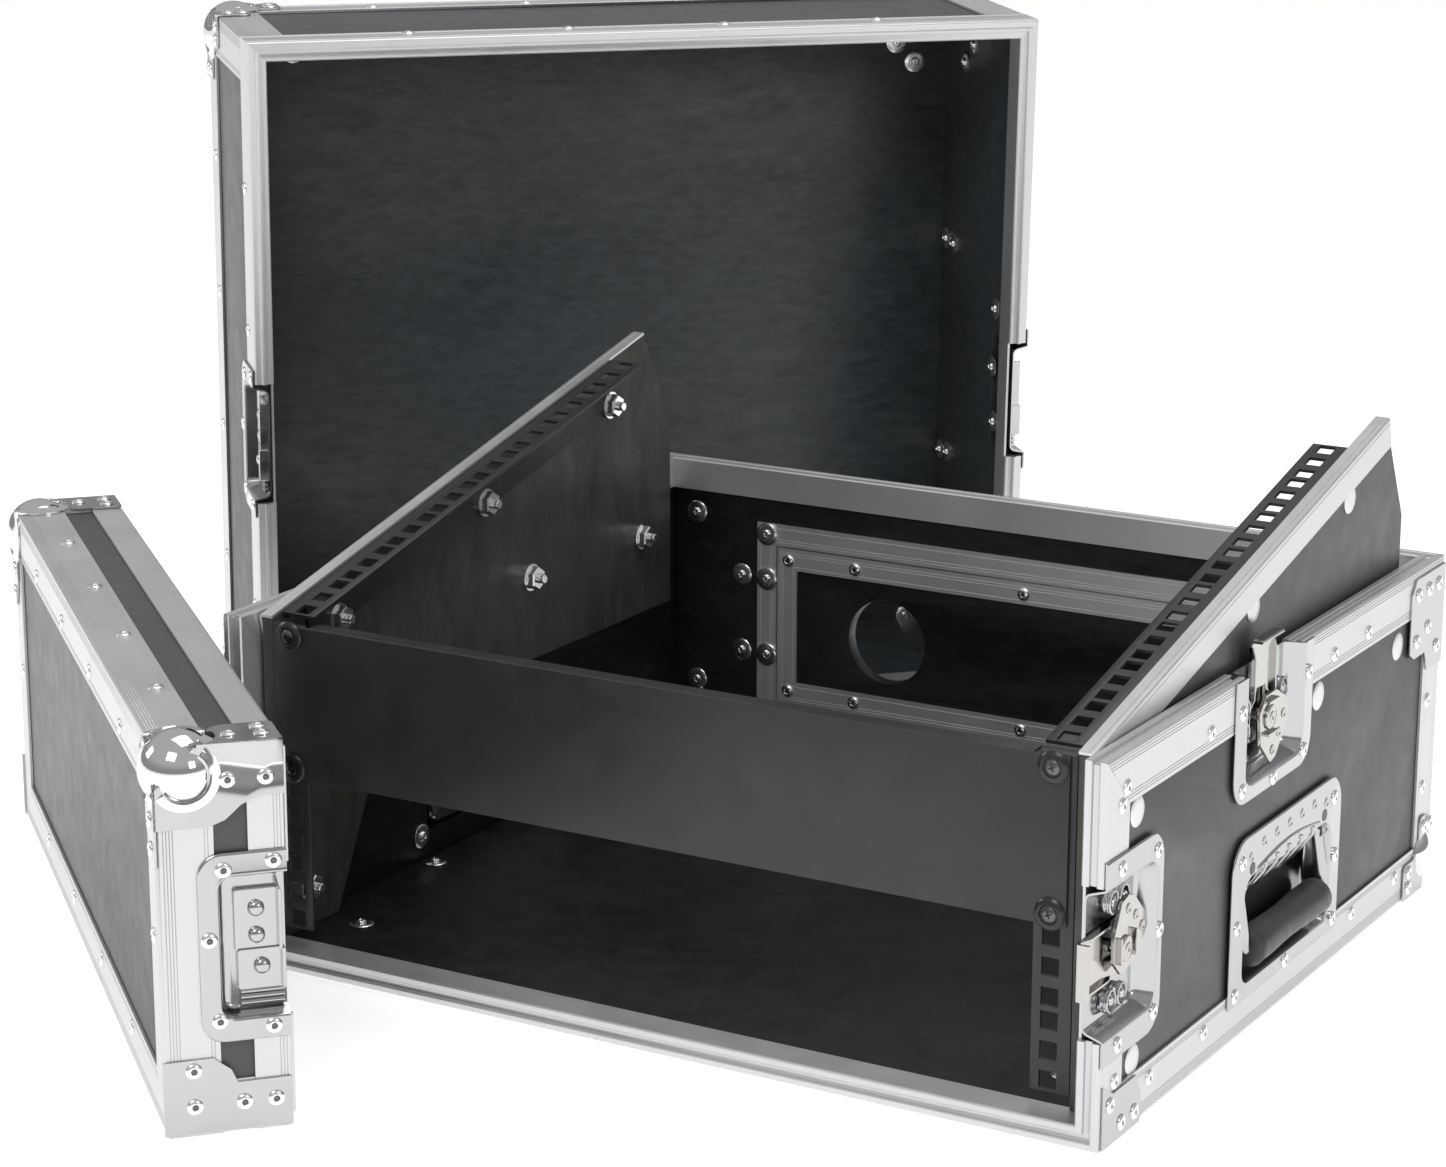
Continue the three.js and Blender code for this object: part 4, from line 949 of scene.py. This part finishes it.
def cut_ball(centre):
    """A fine ball with the case's corner taken out of it."""
    mesh = bpy.data.meshes.new("ball")
    with edited(mesh) as clean:
        bmesh.ops.create_uvsphere(clean, u_segments=40, v_segments=24, radius=PRESSED_RADIUS)
        bmesh.ops.transform(clean, matrix=facing(centre, (1, 1, 1)), verts=clean.verts)
    ball, tool = linked("ball", mesh), linked("ball_tool", corner_block())
    take = ball.modifiers.new("corner", "BOOLEAN")
    take.operation = "DIFFERENCE"
    take.solver = "EXACT"
    take.object = tool
    bpy.context.view_layer.update()
    evaluated = ball.evaluated_get(bpy.context.evaluated_depsgraph_get())
    result = bpy.data.meshes.new_from_object(evaluated)
    for item in (ball, tool):
        bpy.data.objects.remove(item)
    # The solver's order of points and faces changes from run to run, so both are sorted.
    points = [tuple(round(c, 4) for c in v.co) for v in result.vertices]
    rank = {point: i for i, point in enumerate(sorted(set(points)))}
    faces = []
    for polygon in result.polygons:
        face = [rank[points[v]] for v in polygon.vertices]
        first = face.index(min(face))
        faces.append(tuple(face[first:] + face[:first]))
    return [Vector(point) for point in rank], sorted(faces)


def collar(u, v):
    """The flare between a ball and a face, round the ball's centre at (u, v)."""
    section = [(19.2, 0.2), (19.2, 1.3), (17.4, 1.6), (15.8, 2.1), (14.6, 2.8), (13.4, 3.4), (13.4, 0.2)]
    angles = [math.radians(-54 + 198 * i / 28) for i in range(29)]
    return loft([[(u + r * math.cos(a), v + r * math.sin(a), z) for r, z in section] for a in angles])


# The plates of a ball corner, as outlines in the two directions away from the corner, with their rivets.
SQUARE_LEGS = (
    [
        (-1.5, -1.5),
        *arc(43, 1.5, 3, -90, 0, 3),
        *arc(42, 18, 4, 0, 90, 4),
        *arc(34, 34, 12, -90, -180, 6),
        *arc(18, 42, 4, 0, 90, 4),
        *arc(1.5, 43, 3, 90, 180, 3),
    ],
    [(39, 7), (39, 16.5), (7, 39), (16.5, 39)],
)
LONG_LEG = (
    [
        (-1.5, -1.5),
        *arc(20, 1.5, 3, -90, 0, 3),
        *arc(12, 40, 10, 0, 50, 4),
        *arc(8, 57, 5, 0, 90, 4),
        (-1.5, 60),
    ],
    [(10, 38), (9, 53)],
)
# On the front cover's end and long edge, drawn in its depth and then along the edge.
REACH = COVER_DEPTH - 0.5
END_LEG = (
    [(-1.5, -1.5), (REACH, -1.5), (REACH, 27), (50, 27.5), (42, 31), (34, 38), (26, 41), (-1.5, 41)],
    [(35.5, 17.5), (54.5, 17.5)],
)
TOP_LEG = (
    [(-1.5, -1.5), (REACH, -1.5), (REACH, 27), (61.5, 29), (38, 29), (33, 27), (30, 22), (-1.5, 22)],
    [(39, 12), (55, 9), (55, 21)],
)


def ball_corner(label, at, corner, inward, body, legs):
    """A ball with riveted plates. `inward` holds the signs of the way into the case along X, Y and Z.

    Each of `legs` is (axis across the plate, axis of its first direction, outline and rivets). A corner
    with two plates has none below, and its ball stands on the floor.
    """
    name = label + "_corner"
    local = at @ Matrix.Translation(corner) @ Matrix.Diagonal((*inward, 1))
    on_floor = len(legs) == 2
    inset = [PRESSED_RADIUS - BALL_OUT] * 3
    if on_floor:
        inset[2] = PRESSED_RADIUS
    ball = cut_ball(inset)
    make(name + "_ball", ball, local, ball_chrome, body, 0, [label + "_ball_corner"])
    plates, collars, rivets = [], [], []
    for axis, first, (outline, spots) in legs:
        second = 3 - axis - first
        place = Matrix(((0,) * 4,) * 4)
        place[first][0] = place[second][1] = 1
        place[axis][2] = -1
        place[3][3] = 1
        if on_floor:
            outline = [(u, max(v, 0)) for u, v in outline]
        else:
            collars.append(moved(collar(inset[first], inset[second]), place))
        plates.append(moved(plate(outline, GAP, GAP + PLATE), place))
        outward = place.to_3x3() @ Vector((0, 0, 1))
        rivets += [(place @ Vector((u, v, GAP + PLATE)), outward) for u, v in spots]
    under_ball = [corner_trim((0, 0, 0), (1, 1, 0 if on_floor else 1))]
    make(name + "_legs", merged(*plates), local, chrome, body, 0.35, (), under_ball)
    if collars:
        make(name + "_collars", merged(*collars), local, ball_chrome, body)
    pop_rivets(name + "_rivets", rivets, local, body)


# ---- Flat braces ----


def brace(name, outline, rivets, at, body):
    """A flat plate on a face, drawn in Y and Z with X out."""
    low, high = 0.05, 0.05 + PLATE
    make(name, moved(plate(outline, low, high), ALONG_X), at, chrome, body, 0.3)
    pop_rivets(name + "_rivets", on_face(X, high, 1, rivets), at, body)


# ==== Base ====

base_extrusions()
HIGH_LINE = HEIGHT - RIVET_LINE


def slant_z(y):
    """The height of the slanted boards' upper edge."""
    return SLANT_Z + (y - SLANT_Y) * math.tan(SLANT_ANGLE)


for side, mirror in SIDES.items():
    s = 1 if side == "right" else -1

    def is_outer(face, s=s):
        return 0 if face.normal.x * s > 0.9 else 1

    refined(f"{side}_side_board", [laminate, stained], is_outer, 0.2)
    refined(f"{side}_inner_board", [laminate, inner_stained], is_outer, 0.5)
    refined(f"{side}_slant_rail", [powder], None, 0.35)
    refined(f"{side}_front_rail", [powder], None, 0.35)
    at = BASE @ mirror
    start = Vector((INNER_BOARD_OUT + GAP + SKIN, FRONT_RACK_Y, slant_z(FRONT_RACK_Y)))
    along = Vector((0, math.cos(SLANT_ANGLE), math.sin(SLANT_ANGLE)))
    up = Vector((0, -math.sin(SLANT_ANGLE), math.cos(SLANT_ANGLE)))
    length = (SLANT_END - FRONT_RACK_Y) / math.cos(SLANT_ANGLE)
    profile = angle_profile(8.8, 17.8, (3.4,))
    edge = start + up * (GAP + SKIN)
    run = strip(profile, edge, edge + along * length, (-1, 0, 0), -up)
    extrusions(f"{side}_slant_edging", [run], at, "base")
    latch(side, "top", TOP_LATCH)
    latch(side, "front", FRONT_LATCH)
    handle(side)
    legs = [(X, Y, SQUARE_LEGS), (Y, X, SQUARE_LEGS)]
    corner = (HALF_WIDTH, DEPTH, 0)
    ball_corner(f"{side}_rear", at, corner, (-1, -1, 1), "base", legs)

    discs = on_face(X, HALF_WIDTH - BOARD_OUT, 1, [(40, 167), (43, 35), (405, 163), (281, 165)])
    discs += on_face(X, INNER_BOARD_OUT, 1, [(353, 259), (216, 228), (73, 195)])
    fasteners(f"{side}_bolt_heads", DISC, discs, at, disc_metal, "base")
    nuts = on_face(X, INNER_BOARD_IN, -1, [(275, 165), (405, 163), (41, 36), (41, 167)])
    below_rail = [(y, slant_z(y) - 26) for y in (73, 223, 364)]
    nuts += on_face(X, INNER_BOARD_IN - 2.3, -1, below_rail)
    fasteners(f"{side}_nuts", NUT, nuts, at, zinc, "base")

    outside = [(y, HIGH_LINE) for y in (24, 128, 300, 352)] + [(RIVET_LINE, z) for z in (32, 176)]
    outside += [(y, RIVET_LINE) for y in (62, 132, 345, 415)]
    outside += [(DEPTH - RIVET_LINE, z) for z in (64, 118)]
    behind = [(HALF_WIDTH - RIVET_LINE, z) for z in (64, 128)]
    behind += [(x, z) for x in (40, 130, 215) for z in (RIVET_LINE, HIGH_LINE)]
    rivets = on_face(X, HALF_WIDTH, 1, outside) + on_face(Y, DEPTH, 1, behind)
    pop_rivets(f"{side}_rivets", rivets, at, "base")
    wall = [(y, HEIGHT - 33) for y in (60, 140, 330)] + [(y, 26) for y in (170, 300, 420)]
    inside = on_face(X, HALF_WIDTH - BOARD_IN, -1, wall)
    inside += on_face(Z, BOARD_IN, 1, [(247, 170), (247, 300), (247, 430), (222, 60)])
    inside += on_face(Y, DEPTH - BOARD_IN, -1, [(238, 168), (238, 54)])
    inside += on_face(Y, DEPTH - WALL, -1, [(184.5, z) for z in (160, 130, 79, 40)])
    inside += on_face(Y, DEPTH - BOARD_IN, -1, [(204, 130), (204, 79)])
    fasteners(f"{side}_inside_rivets", WASHERED_RIVET, inside, at, zinc, "base")

    side_face = at @ shift(HALF_WIDTH, 0, 0)
    outline = [(4, 0), (50, 0), (50, 15), (44, 27), (16, 27), (4, 34)]
    brace(f"{side}_low_brace", outline, [(12, 22), (26, 8), (42, 8)], side_face, "base")
    outline = [(420, 154), (427, 150), (445, 150), (450, 138)]
    outline += [(474.8, 138), (474.8, 198), (427, 198), (420, 190)]
    spots = [(430, 160), (430, 188), (448, 188), (464, 188), (464, 150), (448, 165)]
    brace(f"{side}_high_brace", outline, spots, side_face, "base")
    back_face = at @ Matrix(((0, -1, 0, HALF_WIDTH), (1, 0, 0, DEPTH), (0, 0, 1, 0), (0, 0, 0, 1)))
    outline = [(0.2, 138), (26, 138), (30, 150), (48, 150), (54, 156), (54, 190), (48, 198), (0.2, 198)]
    spots = [(10, 150), (10, 188), (26, 188), (44, 188), (44, 160)]
    brace(f"{side}_back_brace", outline, spots, back_face, "base")


def faces_back(face):
    return 0 if face.normal.y > 0.9 else 1


refined("floor_board", [stained], None, 0.2)
refined("rear_board", [laminate, stained], faces_back, 0.2)
refined("blank_panel", [powder], None, 0.5)
refined("door_board", [laminate, stained], faces_back, 0.2)
for node in ("door_hinge_frame_leaf", "door_hinge_door_leaf"):
    refined(node, [powder], None, 0.3)
refined("door_catch", [nickel], None, 0.5)
door_ring("door_surround", 0, 1, "base")
door_ring("door_edging", DOOR_CLEARANCE, -1, "door")
around_door = [(x, z) for x in (-185, -60, 60, 185) for z in (DOOR_LOW - 7, DOOR_HIGH + 7)]
pop_rivets("surround_rivets", on_face(Y, DEPTH - GAP, 1, around_door), BASE, "base")
on_leaf = [(x, z) for x in (-120, 0, 120) for z in (DOOR_LOW + 8.5, DOOR_HIGH - 8.5)]
at_corners = [(s * 169, z) for s in (1, -1) for z in (56, 144)]
leaf_rivets = on_face(Y, DEPTH - GAP, 1, on_leaf)
leaf_rivets += on_face(Y, DEPTH - WALL + GAP, -1, on_leaf + at_corners)
pop_rivets("leaf_rivets", leaf_rivets, BASE, "door")

panel_front = FRONT_RACK_Y - GAP - SKIN
screw_heights = (3 * RACK_UNIT + HOLE_HEIGHTS[-1], 2 * RACK_UNIT + HOLE_HEIGHTS[0])
screws = [(s * HOLE_COLUMN, FRONT_RACK_Z + z) for s in (1, -1) for z in screw_heights]
screw_spots = on_face(Y, panel_front, -1, screws)
fasteners("panel_cup_washers", CUP_WASHER, screw_spots, BASE, plastic, "base")
fasteners("panel_screws", PAN_HEAD, screw_spots, BASE, dark_steel, "base")
# Dark plastic crosses: painted shade standing in for the screw heads' recesses.
fasteners("panel_screw_recess_shade", CROSS, screw_spots, BASE, plastic, "base")

# ==== Lid and front cover ====


def spread(low, high):
    """Evenly pitched places between two ends."""
    count = max(1, round((high - low) / RIVET_PITCH))
    return [low + (high - low) * (i + 0.5) / count for i in range(count)]


def cover_rivets(depth, length, rim_leg):
    """The rivets along a cover's edges, outside and inside. None touches the floor it stands on."""
    shallow = depth < LID_DEPTH
    rows = (RIVET_LINE - depth,) if shallow else (RIVET_LINE - depth, -rim_leg * 0.7)
    outside, inside = [], []
    for x in spread(55 - HALF_WIDTH, HALF_WIDTH - 55):
        outside += on_face(Y, length, 1, [(x, z) for z in rows])
        outside += on_face(Z, -depth, -1, [(x, y) for y in (RIVET_LINE, length - RIVET_LINE)])
        if not shallow:
            outside += on_face(Y, 0, -1, [(x, rows[0])])
        inside += on_face(Z, BOARD_IN - depth, 1, [(x, y) for y in (26, length - 26)])
    for y in spread(50, length - 50):
        clear_rows = rows if abs(y - TOP_LATCH_Y) > 60 else rows[:1]
        for s in (1, -1):
            if not shallow:
                outside += on_face(X, s * HALF_WIDTH, s, [(y, z) for z in clear_rows])
            outside += on_face(Z, -depth, -1, [(s * (HALF_WIDTH - RIVET_LINE), y)])
            if shallow:
                inside += on_face(X, s * (HALF_WIDTH - BOARD_IN), -s, [(y, -30)])
    return outside, inside


def cover_piece(name, at, body, size, keeper_y, balls, legs, wood, inner_rivets=()):
    """The lid or the front cover: boards, extrusions, keeper dishes, ball corners and rivets."""
    depth, length, _ = size
    corners = [((x * HALF_WIDTH, length if y > 0 else 0, -depth), (-x, -y, 1)) for x, y in balls]
    to_local = at.inverted()
    turn = to_local.to_3x3().normalized()
    board_face = BOARD_OUT + 0.1

    def wall_side(face):
        x, y, _ = to_local @ face.calc_center_median()
        outer = abs(x) > HALF_WIDTH - board_face or y < board_face or y > length - board_face
        return 0 if outer else 1

    def face_side(face):
        outward = (turn @ face.normal).z < -0.9
        return 0 if outward and (to_local @ face.calc_center_median()).z < board_face - depth else 1

    refined(name + "_wall_boards", [laminate, wood], wall_side, 0.2)
    refined(name + "_face_board", [laminate, wood], face_side, 0.2)
    trims = [corner_trim(*corner) for corner in corners]
    cover_extrusions(name, at, body, size, keeper_y, trims)
    for side, sign in (("left", 1), ("right", -1)):
        place = at @ Matrix.Diagonal((sign, 1, 1, 1)) @ shift(HALF_WIDTH, keeper_y, -KEEPER_HEIGHT)
        keeper(name, side, place, body)
    for corner, inward in corners:
        x, y, _ = inward
        label = f"{name}_{'upper' if y < 0 else 'lower'}_{'left' if x < 0 else 'right'}"
        ball_corner(label, at, corner, inward, body, legs)
    outside, inside = cover_rivets(*size)
    pop_rivets(name + "_rivets", outside, at, body)
    fasteners(name + "_inside_rivets", WASHERED_RIVET, [*inside, *inner_rivets], at, zinc, body)


upper_balls = [(1, 1), (-1, 1)]
lid_balls = [*upper_balls, (1, -1), (-1, -1)]
square_legs = [(X, Y, SQUARE_LEGS), (Y, X, SQUARE_LEGS), (Z, X, SQUARE_LEGS)]
lid_wall = [(270, -33), (228, -36), (190, -30), (142, -138), (144, -122)]
lid_wall += [(299, -138), (298, -122), (445, -93), (430, -110)]
lid_rivets = on_face(Z, BOARD_IN - LID_DEPTH, 1, [(-213, 445), (218, 439), (232, 425), (237, 12)])
for s in (1, -1):
    lid_rivets += on_face(X, s * (HALF_WIDTH - BOARD_IN), -s, lid_wall)
cover_piece("lid", LID, "lid", LID_SIZE, TOP_LATCH_Y, lid_balls, square_legs, lid_lit_plywood, lid_rivets)

cover_legs = [(X, Z, END_LEG), (Y, Z, TOP_LEG), (Z, X, LONG_LEG)]
cover_piece("cover", COVER, "front_cover", COVER_SIZE, FRONT_LATCH_Z, upper_balls, cover_legs, stained)
for side, sign in (("left", 1), ("right", -1)):
    # Drawn in height and depth from the closed face, on the cover's end.
    place = COVER @ Matrix.Diagonal((sign, 1, 1, 1)) @ shift(HALF_WIDTH, 0, -COVER_DEPTH)
    outline = [(1.5, -1.5), (41, -1.5), (41, 24), (34, 33), (27, 36), (27, REACH), (1.5, REACH)]
    spots = [(35, 14), (16, 14), (16, 39), (16, 55)]
    brace(f"cover_{side}_low_brace", outline, spots, place, "front_cover")

# ==== Studio ====


def studio_floor():
    size = 40
    corners = [(-size, -size, 0), (size, -size, 0), (size, size, 0), (-size, size, 0)]
    mesh = new_mesh("studio_floor", (corners, [(0, 1, 2, 3)]))
    floor = linked("studio_floor", mesh)
    paper = Nodes("pale_paper", (0.93, 0.93, 0.93), 0, 0.9)
    glow = {"Specular IOR Level": 0.2, "Emission Color": (1, 1, 1, 1), "Emission Strength": 0.56}
    mesh.materials.append(paper.shade(glow))


def soft_light(name, position, target, size, power):
    data = bpy.data.lights.new(name, "AREA")
    data.shape = "RECTANGLE"
    data.size = data.size_y = size
    data.energy = power
    lamp = linked(name, data)
    lamp.location = position
    direction = Vector(target) - Vector(position)
    lamp.rotation_euler = direction.to_track_quat("-Z", "Y").to_euler()


def white_room():
    """A world that is brighter overhead than near the horizon, so that plated metal shows it."""
    world = bpy.data.worlds.new("white_room")
    world.use_nodes = True
    tree = Tree(world.node_tree)
    height = tree.node("SeparateXYZ", Vector=tree.node("TexCoord").outputs["Generated"]).outputs["Z"]
    background = world.node_tree.nodes["Background"]
    tree.feed(background.inputs["Color"], tree.ramp(height, 0.16, 0.42, (0.62, 0.625, 0.635), (1, 1, 1)))
    tree.feed(background.inputs["Strength"], 0.46)
    bpy.context.scene.world = world


studio_floor()
white_room()
soft_light("key", (0.5, -2.6, 2.6), (0, 0, 0.15), 1.3, 24)
soft_light("left_fill", (-2.8, -1.2, 1.5), (0, 0, 0.2), 1, 11)
soft_light("right_fill", (2.9, -1.0, 1.3), (0.2, 0, 0.15), 0.9, 9)
soft_light("top", (0.1, 0.4, 3.0), (0, 0, 0.1), 1.8, 22)

# ==== Camera ====

CAMERA_YAW = math.radians(30.289)
CAMERA_PITCH = math.radians(14.821)
CAMERA_ROLL = math.radians(0.132)
CAMERA_SPOT = (956.4, -1544.5, 734.7)  # from the base's lower front edge, in millimetres
camera_data = bpy.data.cameras.new("camera")
camera_data.sensor_width = 36
camera_data.lens = 91.19
camera_data.shift_x = -0.0017
camera_data.shift_y = 0.0028
camera_data.clip_end = 200
camera = linked("camera", camera_data)
camera.matrix_world = (
    Matrix.Translation(BASE @ Vector(CAMERA_SPOT))
    @ rotation(CAMERA_YAW, "Z")
    @ rotation(math.pi / 2 - CAMERA_PITCH, "X")
    @ rotation(CAMERA_ROLL, "Z")
)
bpy.context.scene.camera = camera
bpy.context.scene.view_settings.view_transform = "Standard"

bpy.context.view_layer.update()
